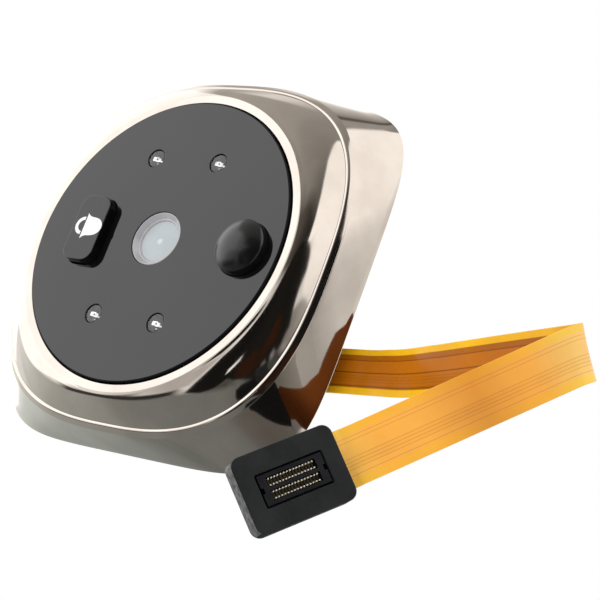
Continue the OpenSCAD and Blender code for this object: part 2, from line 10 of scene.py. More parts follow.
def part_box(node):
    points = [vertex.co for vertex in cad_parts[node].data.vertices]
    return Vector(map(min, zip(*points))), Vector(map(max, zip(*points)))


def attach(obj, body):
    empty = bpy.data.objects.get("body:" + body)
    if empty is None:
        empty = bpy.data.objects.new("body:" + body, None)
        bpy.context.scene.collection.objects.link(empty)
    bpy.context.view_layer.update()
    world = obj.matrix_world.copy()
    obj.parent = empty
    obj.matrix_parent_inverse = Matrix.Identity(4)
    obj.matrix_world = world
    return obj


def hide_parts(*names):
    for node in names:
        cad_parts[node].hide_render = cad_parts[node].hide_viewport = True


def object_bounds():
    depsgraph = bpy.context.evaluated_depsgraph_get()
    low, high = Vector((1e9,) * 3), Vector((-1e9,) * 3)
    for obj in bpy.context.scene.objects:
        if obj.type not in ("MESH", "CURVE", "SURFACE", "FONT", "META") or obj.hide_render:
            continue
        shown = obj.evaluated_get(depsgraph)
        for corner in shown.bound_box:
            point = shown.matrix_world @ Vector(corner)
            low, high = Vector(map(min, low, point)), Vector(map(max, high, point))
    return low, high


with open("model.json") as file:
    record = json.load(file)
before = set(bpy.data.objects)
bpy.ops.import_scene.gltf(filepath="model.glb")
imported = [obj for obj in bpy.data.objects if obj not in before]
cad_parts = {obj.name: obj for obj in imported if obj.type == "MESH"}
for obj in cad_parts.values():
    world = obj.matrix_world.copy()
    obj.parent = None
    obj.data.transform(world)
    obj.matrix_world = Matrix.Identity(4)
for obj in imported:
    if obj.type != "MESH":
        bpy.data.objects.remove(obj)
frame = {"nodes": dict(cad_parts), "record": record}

bl_info = {
    "name": "Peephole door camera",
    "version": (1, 0, 0),
    "blender": (4, 5, 0),
    "location": "View3D > Sidebar > Door camera",
    "description": "Dresses the outdoor unit of a peephole door camera in its finished pieces",
    "category": "Add Mesh",
}

# The solids' box, kept from straight after the frame was loaded
CAD_BOX = [list(corner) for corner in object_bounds()]

MM = 0.001
CASE = "case"
BUTTON = "button"


def node_middle(node):
    """Middle of a node seen from the front, as x and z."""
    low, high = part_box(node)
    return (low.x + high.x) / 2, (low.z + high.z) / 2


def node_width(node):
    """Width of a node along X."""
    low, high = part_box(node)
    return high.x - low.x


def node_heights(node):
    """Distance from the door to a node's back and to its front."""
    low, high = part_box(node)
    return -high.y, -low.y


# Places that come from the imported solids
SHELL_HALF = node_width("housing_shell") / 2
RING_TOP = node_heights("housing_shell")[1]
PANEL_R = node_width("face_panel") / 2
PANEL_BACK, FACE = node_heights("face_panel")
BUTTON_AT = node_middle("doorbell_button")
BUTTON_TOP = node_heights("doorbell_button")[1]
BELL_BACK, BELL_FRONT = node_heights("bell_mark")
DOME_AT = node_middle("pir_dome")
DOME_R = node_width("pir_dome") / 2
DOME_BACK, DOME_TOP = node_heights("pir_dome")
WINDOW_R = node_width("lens_window") / 2
WINDOW_BACK, WINDOW_TOP = node_heights("lens_window")
LAMP_BACK, LAMP_TOP = node_heights("ir_lamps")
LAMP_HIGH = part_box("ir_lamps")[1]
PAD_BACK, PAD_FRONT = node_heights("mounting_pad")
INSERT_BACK, INSERT_FRONT = node_heights("threaded_inserts")
INSERT_R = node_width("threaded_inserts") / 2
INSERT_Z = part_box("threaded_inserts")[1].z - INSERT_R
GROMMET_AT = node_middle("ribbon_grommet")

# How finely the pieces are cut
SHELL_STEPS = 288
CIRCLE_STEPS = 72
HOLE_STEPS = 48
RIM_STEPS = 192
CORNER_STEPS = 10
ROUND_STEPS = 5
SMALL_ROUND_STEPS = 3
# Width of the row that keeps a flat even beside a rounding
SUPPORT = 0.06 * MM
# A row with a smaller radius is one point
TINY = 1e-9
SHARP_ANGLE = 35.0

# Middle of the ribbon, then the direction of its width there, in millimetres along its route
RIBBON_ROUTE = (
    ((14.5, -4, -2), (1, 0, 0)),
    ((14.5, -1.5, -2), (1, 0, 0)),
    ((14.5, 0.5, -1.9), (1, 0, 0)),
    ((14.5, 2, -1.3), (1, 0, 0)),
    ((14.4, 3.1, -0.1), (1, 0, 0.02)),
    ((14.3, 3.5, 1.8), (1, 0, 0.05)),
    ((14, 3.5, 5), (1, 0, 0.08)),
    ((13.4, 3.5, 12), (1, 0, 0.09)),
    ((12.8, 3.5, 18), (1, 0, 0.09)),
    ((12.3, 3.5, 24), (1, 0, 0.09)),
    ((11.7, 3.5, 30), (1, 0, 0.09)),
    ((11.2, 3.5, 36), (1, 0, 0.09)),
    ((10.9, 3.4, 39), (0.99, 0.07, 0.1)),
    ((10.7, 3, 42), (0.98, 0.16, 0.11)),
    ((10.5, 2.2, 45), (0.95, 0.28, 0.14)),
    ((10.5, 1, 47.5), (0.92, 0.36, 0.18)),
    ((10.6, -0.5, 50.1), (0.9, 0.4, 0.2)),
    ((10.8, -2.3, 53), (0.89, 0.41, 0.2)),
    ((11.3, -8, 62.1), (0.89, 0.41, 0.2)),
    ((11.8, -13.6, 71.1), (0.89, 0.41, 0.2)),
    ((12.2, -18, 78.2), (0.89, 0.41, 0.2)),
    ((12.5, -21, 83), (0.89, 0.41, 0.2)),
    ((12.6, -22.3, 85), (0.88, 0.43, 0.22)),
    ((12.9, -23.4, 86.1), (0.82, 0.48, 0.31)),
    ((13.4, -24.4, 86.4), (0.77, 0.49, 0.41)),
    ((14.1, -25.3, 86.2), (0.74, 0.44, 0.51)),
    ((15, -26, 85.5), (0.73, 0.38, 0.57)),
    ((16.6, -26.8, 84), (0.73, 0.36, 0.58)),
    ((20.7, -28.8, 80.1), (0.73, 0.36, 0.58)),
    ((24.8, -30.8, 76.2), (0.73, 0.36, 0.58)),
    ((28.9, -32.8, 72.3), (0.73, 0.36, 0.58)),
    ((33, -34.8, 68.4), (0.73, 0.36, 0.58)),
    ((35, -35.8, 66.5), (0.73, 0.37, 0.575)),
    ((35.7, -36.2, 65.9), (0.73, 0.43, 0.53)),
    ((36.3, -36.7, 65.5), (0.73, 0.46, 0.505)),
)
RIBBON_PARTS = 5
RIBBON_COLUMNS = 6
# Painted light along the film: a painted sheen at the fold, painted shade half way from there to the plug,
# and painted light at the plug that lifts the shade there
FILM_PAINTED_SHEEN = (1.0, 1.0, 1.0)
FILM_PLAIN = (1.0, 0.74, 0.36)
FILM_PAINTED_SHADE = (0.8, 0.5, 0.13)
FILM_PAINTED_LIGHT = (1.0, 0.9, 0.5)
FILM_PAINTED_LIGHT_ALONG = (
    (0.0, FILM_PLAIN), (0.7, FILM_PLAIN), (0.765, FILM_PAINTED_SHEEN), (0.805, FILM_PLAIN), (0.862, FILM_PAINTED_SHADE),
    (0.92, FILM_PLAIN), (0.96, FILM_PLAIN), (1.0, FILM_PAINTED_LIGHT))
# Painted shade along the tracks: a little deeper where the ribbon turns away from the light
TRACK_PLAIN = (1.0, 1.0, 1.0)
TRACK_PAINTED_SHADE = (0.86, 0.8, 0.75)
TRACK_PAINTED_SHADE_ALONG = ((0.0, TRACK_PLAIN), (0.5, TRACK_PLAIN), (0.7, TRACK_PAINTED_SHADE), (1.0, TRACK_PLAIN))
# Bare film along both edges of the ribbon, as a share of its width
FILM_EDGE = (1.0, 0.63, 0.07)
BARE_TO = 0.125
TRACKS_FROM = 0.14
TRACKS_TO = 0.845
BARE_FROM = 0.86
# Tracks across the copper side and fine lines across the film side, as places and tones,
# and how the dark and the dull tone follow from the plain one
COPPER_DARK = (0.32, 0.32, 0.32)
COPPER_DULL = (0.8, 0.8, 0.8)
COPPER_LINES = (
    (0.15, "dull"), (0.235, "dull"), (0.25, "dark"), (0.265, "plain"), (0.5, "plain"), (0.52, "dark"),
    (0.54, "plain"), (0.58, "plain"), (0.595, "dull"), (0.62, "plain"), (0.66, "dull"), (0.69, "plain"),
    (0.72, "dull"), (0.75, "plain"), (0.8, "dull"), (0.815, "dark"), (0.83, "dull"))
FILM_DARK = (0.55, 0.32, 0.16)
FILM_DULL = (0.97, 0.97, 0.97)
FILM_LINES = (
    (0.15, "plain"), (0.185, "plain"), (0.19, "dark"), (0.195, "plain"), (0.25, "plain"), (0.255, "dark"),
    (0.26, "plain"), (0.5, "plain"), (0.52, "dull"), (0.525, "dark"), (0.53, "dull"), (0.58, "dull"),
    (0.585, "dark"), (0.59, "dull"), (0.64, "dull"), (0.645, "dark"), (0.65, "dull"), (0.7, "dull"),
    (0.705, "dark"), (0.71, "plain"), (0.8, "plain"), (0.805, "dark"), (0.81, "plain"))
FILM_GRAIN = (700, 0.4, 0.05, 0.05 * MM)
FILM_COAT = 0.3

# Camera at the photograph's place
CAMERA_AT = (80.741 * MM, -207.145 * MM, 187.128 * MM)
CAMERA_RIGHT = (-0.33362, 0.50849, 0.79381)
CAMERA_DOWN = (0.89890, 0.42529, 0.10536)
CAMERA_LENS = 104.627
CAMERA_SENSOR = 36.0
CAMERA_CLIP = (0.01, 50.0)


# Settings

def length(name, description, default):
    """A size that a user would change, in metres."""
    return FloatProperty(name=name, description=description, default=default, unit="LENGTH", precision=5)


def share(name, description, default):
    """A plain number that a user would change."""
    return FloatProperty(name=name, description=description, default=default, min=0.0)


def colour(name, description, default):
    """A colour that a user would change."""
    return FloatVectorProperty(
        name=name, description=description, default=default, subtype="COLOR", size=3, min=0.0, max=1.0)


class DOORCAM_PG_shell(bpy.types.PropertyGroup):
    """Sizes and colours of the plated shell."""

    ledge_height: length("Ledge height", "Distance from the door to the ledge", 8.8 * MM)
    ledge_half: length("Ledge half width", "Half width of the ledge at its inner edge", 30.4 * MM)
    ledge_flat: length("Ledge width", "Width of the flat part of the ledge", 0.46 * MM)
    ledge_round: length("Ledge rounding", "Size of the sloping edge between skirt and ledge", 0.75 * MM)
    ledge_fillet: length("Ledge fillet", "Fillet between the ledge and the flank", 0.05 * MM)
    ring_radius: length("Ring radius", "Outer radius of the bright ring", 26.75 * MM)
    ring_round: length("Ring rounding", "Rounding of the ring's inner edge", 0.3 * MM)
    lip_radius: length("Lip radius", "Radius of the opening for the face", 25.15 * MM)
    back_round: length("Back edge rounding", "Rounding of the edge that lies on the door", 0.35 * MM)
    base_corner: share("Back corner reach", "1 for a circle and 1.41 for a square", 1.238)
    ledge_corner: share("Ledge corner reach", "1 for a circle and 1.41 for a square", 1.098)
    plating: colour("Plating", "Colour of the clean plating", (0.735, 0.665, 0.595))
    haze: colour("Haze", "Colour of the plating where it was handled", (0.63, 0.565, 0.5))


class DOORCAM_PG_face(bpy.types.PropertyGroup):
    """Sizes and colours of the face and what sits in it."""

    rim_round: length("Rim rounding", "Rounding of the face's outer edge", 0.16 * MM)
    hole_round: length("Hole rounding", "Rounding of the edges of the holes", 0.12 * MM)
    lamp_hole: length("Lamp hole", "Radius of a lamp hole", 1.65 * MM)
    window_play: length("Window play", "Gap round the camera window", 0.05 * MM)
    dome_play: length("Dome play", "Gap round the motion dome", 0.05 * MM)
    button_play: length("Button play", "Gap round the button", 0.15 * MM)
    gloss: colour("Gloss black", "Colour of the polished black face", (0.004, 0.004, 0.0045))
    film: colour("Window film", "Colour of the milky film on the camera window", (0.42, 0.46, 0.475))
    bevel: colour("Window bevel", "Colour of the sloping edge of the window", (0.4, 0.395, 0.41))


class DOORCAM_PG_button(bpy.types.PropertyGroup):
    """Sizes and colours of the doorbell button."""

    width: length("Width", "Width of the button's cap", 11.7 * MM)
    height: length("Height", "Height of the button's cap", 6.4 * MM)
    corner: length("Corner", "Corner radius of the cap", 2.0 * MM)
    edge: length("Edge rounding", "Rounding of the cap's front edge", 0.13 * MM)
    flange: length("Flange", "How far the hidden flange stands out", 1.2 * MM)
    flange_back: length("Flange back", "Distance from the door to the back of the flange", 10.7 * MM)
    flange_front: length("Flange front", "Distance from the door to the front of the flange", 11.7 * MM)
    stem_radius: length("Stem radius", "Radius of the stem on the plunger", 1.6 * MM)
    stem_back: length("Stem back", "Distance from the door to the end of the stem", 10.25 * MM)
    bell_shift: length("Bell shift", "Sideways place of the bell on the cap", -0.2 * MM)
    cap: colour("Cap", "Colour of the glossy cap", (0.003, 0.003, 0.004))
    print_white: colour("Print", "Colour of the printed bell", (0.9, 0.9, 0.9))


class DOORCAM_PG_ribbon(bpy.types.PropertyGroup):
    """Sizes and colours of the ribbon and its plug."""

    width: length("Width", "Width of the ribbon", 7.5 * MM)
    thickness: length("Thickness", "Thickness of the ribbon", 0.3 * MM)
    amber: colour("Amber", "Colour of the bare film along the edges", (1.0, 0.54, 0.012))
    copper: colour("Copper side", "Colour of the side with the tracks", (0.57, 0.166, 0.004))
    film: colour("Film side", "Colour of the side with the cover film", (1.0, 0.6, 0.146))
    plug: colour("Plug", "Colour of the moulded plug", (0.01, 0.011, 0.0115))


class DOORCAM_PG_stage(bpy.types.PropertyGroup):
    """Levels of the studio."""

    floor_drop: length("Floor drop", "How far the floor lies below the part", 1.0)
    floor_radius: length("Floor radius", "Radius of the round floor", 0.4)
    card_radius: length("Card distance", "Distance of the cards that the plating mirrors", 0.75)
    key_level: share("Key level", "Brightness of the soft key light", 1.56)
    fill_level: share("Fill level", "Strength of the light from all round", 1.0)


class DOORCAM_PG_settings(bpy.types.PropertyGroup):
    """All settings of the door camera."""

    shell: PointerProperty(type=DOORCAM_PG_shell)
    face: PointerProperty(type=DOORCAM_PG_face)
    button: PointerProperty(type=DOORCAM_PG_button)
    ribbon: PointerProperty(type=DOORCAM_PG_ribbon)
    stage: PointerProperty(type=DOORCAM_PG_stage)


# Outlines and rows

def from_front(x, y, h):
    """A point seen from the front, at a distance from the door."""
    return Vector((x, -h, y))


def circle_line(at, radius, steps=CIRCLE_STEPS):
    """Points round a circle."""
    turns = [math.tau * k / steps for k in range(steps)]
    return [(at[0] + radius * math.cos(t), at[1] + radius * math.sin(t)) for t in turns]


def rounded_rect_line(at, width, height, corner, steps=CORNER_STEPS):
    """Points round a rectangle with round corners."""
    points = []
    for quarter, (sx, sy) in enumerate(((1, 1), (-1, 1), (-1, -1), (1, -1))):
        cx = at[0] + sx * (width / 2 - corner)
        cy = at[1] + sy * (height / 2 - corner)
        for k in range(steps + 1):
            t = math.pi / 2 * (quarter + k / steps)
            points.append((cx + corner * math.cos(t), cy + corner * math.sin(t)))
    return points


def rounded_square_line(half, corner, steps=SHELL_STEPS):
    """Points round the shell's rounded square, from a circle at 1 to a square at 1.41."""
    power = 1 / (0.5 - math.log(corner) / math.log(2))
    points = []
    for k in range(steps):
        t = math.tau * k / steps
        c, s = math.cos(t), math.sin(t)
        r = half / (abs(c) ** power + abs(s) ** power) ** (1 / power)
        points.append((r * c, r * s))
    return points


def round_over(radius, steps=ROUND_STEPS):
    """Rows of a rounded edge, from the wall to the flat: how far in, and how far below the flat."""
    rows = []
    for k in range(steps + 1):
        t = math.pi / 2 * k / steps
        rows.append((radius * (1 - math.cos(t)), radius * (1 - math.sin(t))))
    return rows


def wall_rows(back, front, back_round, front_round):
    """Rows up a wall from the back flat to the front flat, each how far in and a height."""
    rows = [(back_round + SUPPORT, back)]
    rows += [(inset, back + drop) for inset, drop in reversed(round_over(back_round))]
    rows += [(inset, front - drop) for inset, drop in round_over(front_round)]
    rows.append((front_round + SUPPORT, front))
    return rows


def bow(start, bend, end, steps):
    """Points on a curve that leaves start and reaches end along the lines through bend."""
    points = []
    for k in range(steps + 1):
        t = k / steps
        points.append(tuple(
            (1 - t) ** 2 * a + 2 * t * (1 - t) * b + t * t * c for a, b, c in zip(start, bend, end)))
    return points


def cap_rows(edge, height, top, crest, steps):
    """Rows of a low round cap, from the given share of the way out to its edge up to its top."""
    curve = (edge ** 2 + height ** 2) / (2 * height)
    reach = crest * math.asin(edge / curve)
    turns = [reach * (1 - k / steps) for k in range(steps + 1)]
    return [(curve * math.sin(t), top - curve * (1 - math.cos(t))) for t in turns]


def smooth_line(points, parts):
    """A smooth curve through a list of points, cut into parts between each two."""
    last = len(points) - 1
    made = []
    for i in range(last):
        a, b, c, d = (points[min(max(j, 0), last)] for j in (i - 1, i, i + 1, i + 2))
        for k in range(parts):
            t = k / parts
            made.append(0.5 * (
                2 * b + (c - a) * t + (2 * a - 5 * b + 4 * c - d) * t * t
                + (3 * b - a - 3 * c + d) * t * t * t))
    made.append(points[last].copy())
    return made


# Mesh building

def add_ring(bm, line, h, place=from_front):
    """One closed row of points."""
    return [bm.verts.new(place(x, y, h)) for x, y in line]


def add_band(bm, low, high, closed=True):
    """Faces between two rows with the same number of points."""
    count = len(low)
    faces = []
    for i in range(count if closed else count - 1):
        j = (i + 1) % count
        faces.append(bm.faces.new((low[i], low[j], high[j], high[i])))
    return faces


def add_stack(bm, rings):
    """Faces between each two rows of a list."""
    for low, high in zip(rings, rings[1:]):
        add_band(bm, low, high)


def fill_flat(bm, *rings):
    """Faces over the flat inside the first row and outside the others."""
    edges = []
    for ring in rings:
        for a, b in zip(ring, ring[1:] + ring[:1]):
            edges.append(bm.edges.get((a, b)) or bm.edges.new((a, b)))
    bmesh.ops.triangle_fill(bm, use_beauty=True, use_dissolve=False, edges=edges)


def add_solid(bm, rings):
    """Faces between each two rows of a list, and over the first and the last."""
    add_stack(bm, rings)
    fill_flat(bm, rings[0])
    fill_flat(bm, rings[-1])


def add_block(bm, at, sizes, rows, steps=CORNER_STEPS, place=from_front):
    """A block from its width, height and corner, and from rows of an inset and a height."""
    width, height, corner = sizes
    rings = []
    for inset, h in rows:
        line = rounded_rect_line(at, width - 2 * inset, height - 2 * inset, corner - inset, steps)
        rings.append(add_ring(bm, line, h, place))
    add_solid(bm, rings)


def add_plate(bm, outer, holes, back, front, outer_round, hole_round):
    """A plate with rounded edges. The outer edge and the holes are functions of an offset."""
    backs, fronts = [], []
    for line, sign, rounding in [(outer, -1, outer_round)] + [(hole, 1, hole_round) for hole in holes]:
        rows = wall_rows(back, front, *rounding)
        rings = [add_ring(bm, line(sign * inset), h) for inset, h in rows]
        add_stack(bm, rings)
        backs.append(rings[0])
        fronts.append(rings[-1])
    fill_flat(bm, *fronts)
    fill_flat(bm, *backs)


def add_turned(bm, at, profile, steps=CIRCLE_STEPS):
    """A turned form from rows of radius and height. A row of radius 0 is one point."""
    rings = []
    for radius, h in profile:
        if radius < TINY:
            rings.append([bm.verts.new(from_front(*at, h))])
        else:
            rings.append(add_ring(bm, circle_line(at, radius, steps), h))
    for low, high in zip(rings, rings[1:]):
        if len(low) > 1 and len(high) > 1:
            add_band(bm, low, high)
            continue
        tip, ring = (low, high) if len(low) == 1 else (high, low)
        for a, b in zip(ring, ring[1:] + ring[:1]):
            bm.faces.new((tip[0], a, b))


def paint(bm, done, index):
    """Gives the faces made after the first ones another material."""
    bm.faces.ensure_lookup_table()
    for face in bm.faces[done:]:
        face.material_index = index


def finish_piece(name, bm, materials, body, nodes=()):
    """Makes an object from the mesh, puts it on its body and hides the nodes it stands for."""
    bmesh.ops.recalc_face_normals(bm, faces=bm.faces)
    mesh = bpy.data.meshes.new(name)
    bm.to_mesh(mesh)
    bm.free()
    mesh.shade_smooth()
    mesh.set_sharp_from_angle(angle=math.radians(SHARP_ANGLE))
    for material in materials:
        mesh.materials.append(material)
    piece = bpy.data.objects.new(name, mesh)
    bpy.context.scene.collection.objects.link(piece)
    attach(piece, body)
    if nodes:
        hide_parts(*nodes)
    return piece


# Shared effects

def add_node(tree, kind, values=None, **settings):
    """A node with its settings and the values of its inputs."""
    node = tree.nodes.new(kind)
    for key, value in settings.items():
        setattr(node, key, value)
    for key, value in (values or {}).items():
        node.inputs[key].default_value = value
    return node


def join(tree, *rows):
    """Links, each from an output of one node to an input of another."""
    for start, output, end, entry in rows:
        tree.links.new(start.outputs[output], end.inputs[entry])


def start_group(name, inputs, outputs):
    """A shader node group with named inputs and outputs, its two ends and the places on the piece."""
    group = bpy.data.node_groups.new(name, "ShaderNodeTree")
    for label, kind, default in inputs:
        socket = group.interface.new_socket(label, in_out="INPUT", socket_type="NodeSocket" + kind)
        socket.default_value = default
    for label, kind in outputs:
        group.interface.new_socket(label, in_out="OUTPUT", socket_type="NodeSocket" + kind)
    kinds = ("NodeGroupInput", "NodeGroupOutput", "ShaderNodeTexCoord")
    return [group] + [add_node(group, kind) for kind in kinds]


def two_tone_group():
    """Two close tones and a value that drift over the surface in soft patches."""
    name = "two tone drift"
    if name in bpy.data.node_groups:
        return bpy.data.node_groups[name]
    group, ends, out, where = start_group(
        name,
        [("Colour", "Color", (0.5, 0.5, 0.5, 1)), ("Second colour", "Color", (0.4, 0.4, 0.4, 1)),
         ("Scale", "Float", 40.0), ("Low", "Float", 0.2), ("High", "Float", 0.4)],
        [("Colour", "Color"), ("Value", "Float")])
    noise = add_node(group, "ShaderNodeTexNoise", {"Detail": 4.0, "Roughness": 0.55})
    spread = add_node(group, "ShaderNodeMapRange", {"From Min": 0.34, "From Max": 0.66})
    mix = add_node(group, "ShaderNodeMix", data_type="RGBA")
    level = add_node(group, "ShaderNodeMapRange")
    join(
        group,
        (where, "Object", noise, "Vector"), (ends, "Scale", noise, "Scale"),
        (noise, "Fac", spread, "Value"), (spread, "Result", mix, "Factor"),
        (ends, "Colour", mix, "A"), (ends, "Second colour", mix, "B"),
        (spread, "Result", level, "Value"), (ends, "Low", level, "To Min"), (ends, "High", level, "To Max"),
        (mix, "Result", out, "Colour"), (level, "Result", out, "Value"))
    return group


def grain_group():
    """Height of a fine moulded or cast grain."""
    name = "fine grain"
    if name in bpy.data.node_groups:
        return bpy.data.node_groups[name]
    group, ends, out, where = start_group(
        name, [("Scale", "Float", 2000.0), ("Softness", "Float", 0.5)], [("Height", "Float")])
    noise = add_node(group, "ShaderNodeTexNoise", {"Detail": 3.0})
    join(
        group,
        (where, "Object", noise, "Vector"), (ends, "Scale", noise, "Scale"),
        (ends, "Softness", noise, "Roughness"), (noise, "Fac", out, "Height"))
    return group


def speck_group():
    """Mask of small scattered specks of dust."""
    name = "dust specks"
    if name in bpy.data.node_groups:
        return bpy.data.node_groups[name]
    group, ends, out, where = start_group(
        name, [("Scale", "Float", 900.0), ("Size", "Float", 0.12), ("Amount", "Float", 0.2)],
        [("Mask", "Float")])
    cells = add_node(group, "ShaderNodeTexVoronoi")
    near = add_node(group, "ShaderNodeMath", operation="LESS_THAN")
    split = add_node(group, "ShaderNodeSeparateColor")
    some = add_node(group, "ShaderNodeMath", operation="LESS_THAN")
    both = add_node(group, "ShaderNodeMath", operation="MULTIPLY")
    join(
        group,
        (where, "Object", cells, "Vector"), (ends, "Scale", cells, "Scale"),
        (cells, "Distance", near, 0), (ends, "Size", near, 1),
        (cells, "Color", split, "Color"), (split, "Red", some, 0), (ends, "Amount", some, 1),
        (near, "Value", both, 0), (some, "Value", both, 1), (both, "Value", out, "Mask"))
    return group


# Finishes

def start_material(name, sockets):
    """A material with the constants set on its own shader."""
    material = bpy.data.materials.new(name)
    material.use_nodes = True
    shader = material.node_tree.nodes["Principled BSDF"]
    for socket, value in sockets.items():
        shader.inputs[socket].default_value = value
    return material, shader


def place_group(tree, group, values):
    """A shared effect placed in a material with its own values."""
    return add_node(tree, "ShaderNodeGroup", values, node_tree=group)


def add_grain(tree, shader, scale, softness, strength, depth):
    """Relief of a fine grain."""
    fine = place_group(tree, grain_group(), {"Scale": scale, "Softness": softness})
    bump = add_node(tree, "ShaderNodeBump", {"Strength": strength, "Distance": depth})
    join(tree, (fine, "Height", bump, "Height"), (bump, "Normal", shader, "Normal"))


def make_finish(name, tone, second, rough, scale, grain=None, dust=None, sockets=None):
    """A finish of two drifting tones and a roughness that drifts from low to high.

    Scale is that of the drift. Grain is a scale, a softness, a strength and a depth. Dust is a scale,
    a size, an amount and a colour. Sockets are the constants of the shader.
    """
    if name in bpy.data.materials:
        return bpy.data.materials[name]
    material, shader = start_material(name, sockets or {})
    tree = material.node_tree
    drift = place_group(tree, two_tone_group(), {
        "Colour": (*tone, 1), "Second colour": (*second, 1),
        "Scale": scale, "Low": rough[0], "High": rough[1]})
    surface = (drift, "Colour")
    if dust:
        dust_scale, size, amount, dust_colour = dust
        specks = place_group(tree, speck_group(), {"Scale": dust_scale, "Size": size, "Amount": amount})
        mix = add_node(tree, "ShaderNodeMix", {"B": (*dust_colour, 1)}, data_type="RGBA")
        join(tree, (specks, "Mask", mix, "Factor"), (*surface, mix, "A"))
        surface = (mix, "Result")
    join(tree, (drift, "Value", shader, "Roughness"), (*surface, shader, "Base Color"))
    if grain:
        add_grain(tree, shader, *grain)
    return material


# Finishes of the carried-over solids by slot: two tones, roughness, scale, grain and the shader's constants
SLOT_FINISHES = {
    "black_plastic": (
        (0.016, 0.016, 0.017), (0.024, 0.024, 0.025), (0.4, 0.55), 160, (2600, 0.6, 0.25, 0.05 * MM), {}),
    "gloss_black": (
        (0.007, 0.006, 0.009), (0.01, 0.009, 0.012), (0.3, 0.42), 300, (3000, 0.5, 0.1, 0.02 * MM),
        {"Specular IOR Level": 0.2}),
    "white_plastic": (
        (0.78, 0.77, 0.73), (0.7, 0.69, 0.65), (0.35, 0.5), 200, (2400, 0.5, 0.15, 0.03 * MM), {}),
    "rubber": (
        (0.02, 0.02, 0.02), (0.032, 0.031, 0.03), (0.6, 0.8), 220, (2000, 0.7, 0.35, 0.06 * MM), {}),
    "clear_glass": (
        (0.95, 0.97, 0.98), (0.9, 0.93, 0.95), (0.02, 0.05), 200, None,
        {"Transmission Weight": 1.0, "IOR": 1.52}),
    "sensor_black": (
        (0.02, 0.022, 0.03), (0.035, 0.03, 0.045), (0.15, 0.3), 400, (4000, 0.5, 0.1, 0.02 * MM), {}),
    "board_green": (
        (0.015, 0.11, 0.045), (0.02, 0.15, 0.06), (0.3, 0.45), 260, (1800, 0.6, 0.2, 0.04 * MM), {}),
    "steel": (
        (0.62, 0.61, 0.6), (0.5, 0.49, 0.48), (0.22, 0.4), 500, (5000, 0.5, 0.12, 0.02 * MM),
        {"Metallic": 1.0}),
    "brass": (
        (0.78, 0.55, 0.2), (0.66, 0.43, 0.14), (0.24, 0.4), 400, (4000, 0.5, 0.12, 0.02 * MM),
        {"Metallic": 1.0}),
}


def slot_finish(slot):
    """The finish of a carried-over node, by the slot that the record gives it."""
    tone, second, rough, scale, grain, sockets = SLOT_FINISHES[slot]
    return make_finish("carried_" + slot, tone, second, rough, scale, grain, sockets=sockets)


def fill_ramp(ramp, rows):
    """Sets the stops of a colour ramp from places and tones, all places first."""
    stops = ramp.color_ramp.elements
    while len(stops) < len(rows):
        stops.new(0.5)
    for stop, row in zip(stops, rows):
        stop.position = row[0]
    for stop, row in zip(stops, rows):
        stop.color = (*row[1], 1)


def times(tone, by):
    """A tone times another."""
    return tuple(a * b for a, b in zip(tone, by))


def film_side(name, edge, plain, dark, dull, lines, painted_light_stops, rough, sheen):
    """One side of the ribbon: bare film along the edges, fine lines between, painted sheen and shade along
    it, and tones that drift at random.
    """
    material, shader = start_material(name, {
        "IOR": 1.55, "Specular IOR Level": sheen, "Coat Weight": FILM_COAT * sheen, "Coat Roughness": 0.22})
    tree = material.node_tree
    tones = {"plain": plain, "dark": times(plain, dark), "dull": times(plain, dull)}
    tracks = [(place, tones[tone]) for place, tone in lines]
    across = add_node(tree, "ShaderNodeAttribute", attribute_name="across")
    along = add_node(tree, "ShaderNodeAttribute", attribute_name="along")
    ramp = add_node(tree, "ShaderNodeValToRGB")
    fill_ramp(ramp, [
        (0.0, edge), (BARE_TO, edge), (TRACKS_FROM, tracks[0][1]), *tracks,
        (TRACKS_TO, tracks[-1][1]), (BARE_FROM, edge), (1.0, edge)])
    painted_light_ramp = add_node(tree, "ShaderNodeValToRGB")
    fill_ramp(painted_light_ramp, painted_light_stops)
    drift = place_group(tree, two_tone_group(), {
        "Colour": (1, 1, 1, 1), "Second colour": (0.88, 0.86, 0.8, 1),
        "Scale": 110.0, "Low": rough[0], "High": rough[1]})
    # Painted light: the tones along the ribbon multiply its colour as painted sheen and painted shade
    painted_light_mix = add_node(tree, "ShaderNodeMix", {"Factor": 1.0}, data_type="RGBA", blend_type="MULTIPLY")
    tone_drift_mix = add_node(tree, "ShaderNodeMix", {"Factor": 1.0}, data_type="RGBA", blend_type="MULTIPLY")
    join(
        tree,
        (across, "Fac", ramp, "Fac"), (along, "Fac", painted_light_ramp, "Fac"),
        (ramp, "Color", painted_light_mix, "A"), (painted_light_ramp, "Color", painted_light_mix, "B"),
        (painted_light_mix, "Result", tone_drift_mix, "A"), (drift, "Colour", tone_drift_mix, "B"),
        (tone_drift_mix, "Result", shader, "Base Color"), (drift, "Value", shader, "Roughness"))
    add_grain(tree, shader, *FILM_GRAIN)
    return material


# Operators

class DOORCAM_OT_camera(bpy.types.Operator):
    """Put the camera where the photograph was taken from"""

    bl_idname = "doorcam.camera"
    bl_label = "Camera"

    def execute(self, context):
        right = Vector(CAMERA_RIGHT).normalized()
        up = -Vector(CAMERA_DOWN)
        up = (up - up.dot(right) * right).normalized()
        turn = Matrix((right, up, right.cross(up))).transposed()
        data = bpy.data.cameras.new("photo_camera")
        data.lens = CAMERA_LENS
        data.sensor_width = CAMERA_SENSOR
        data.clip_start, data.clip_end = CAMERA_CLIP
        camera = bpy.data.objects.new("photo_camera", data)
        camera.matrix_world = Matrix.Translation(CAMERA_AT) @ turn.to_4x4()
        context.scene.collection.objects.link(camera)
        context.scene.camera = camera
        context.scene.view_settings.view_transform = "Standard"
        return {"FINISHED"}


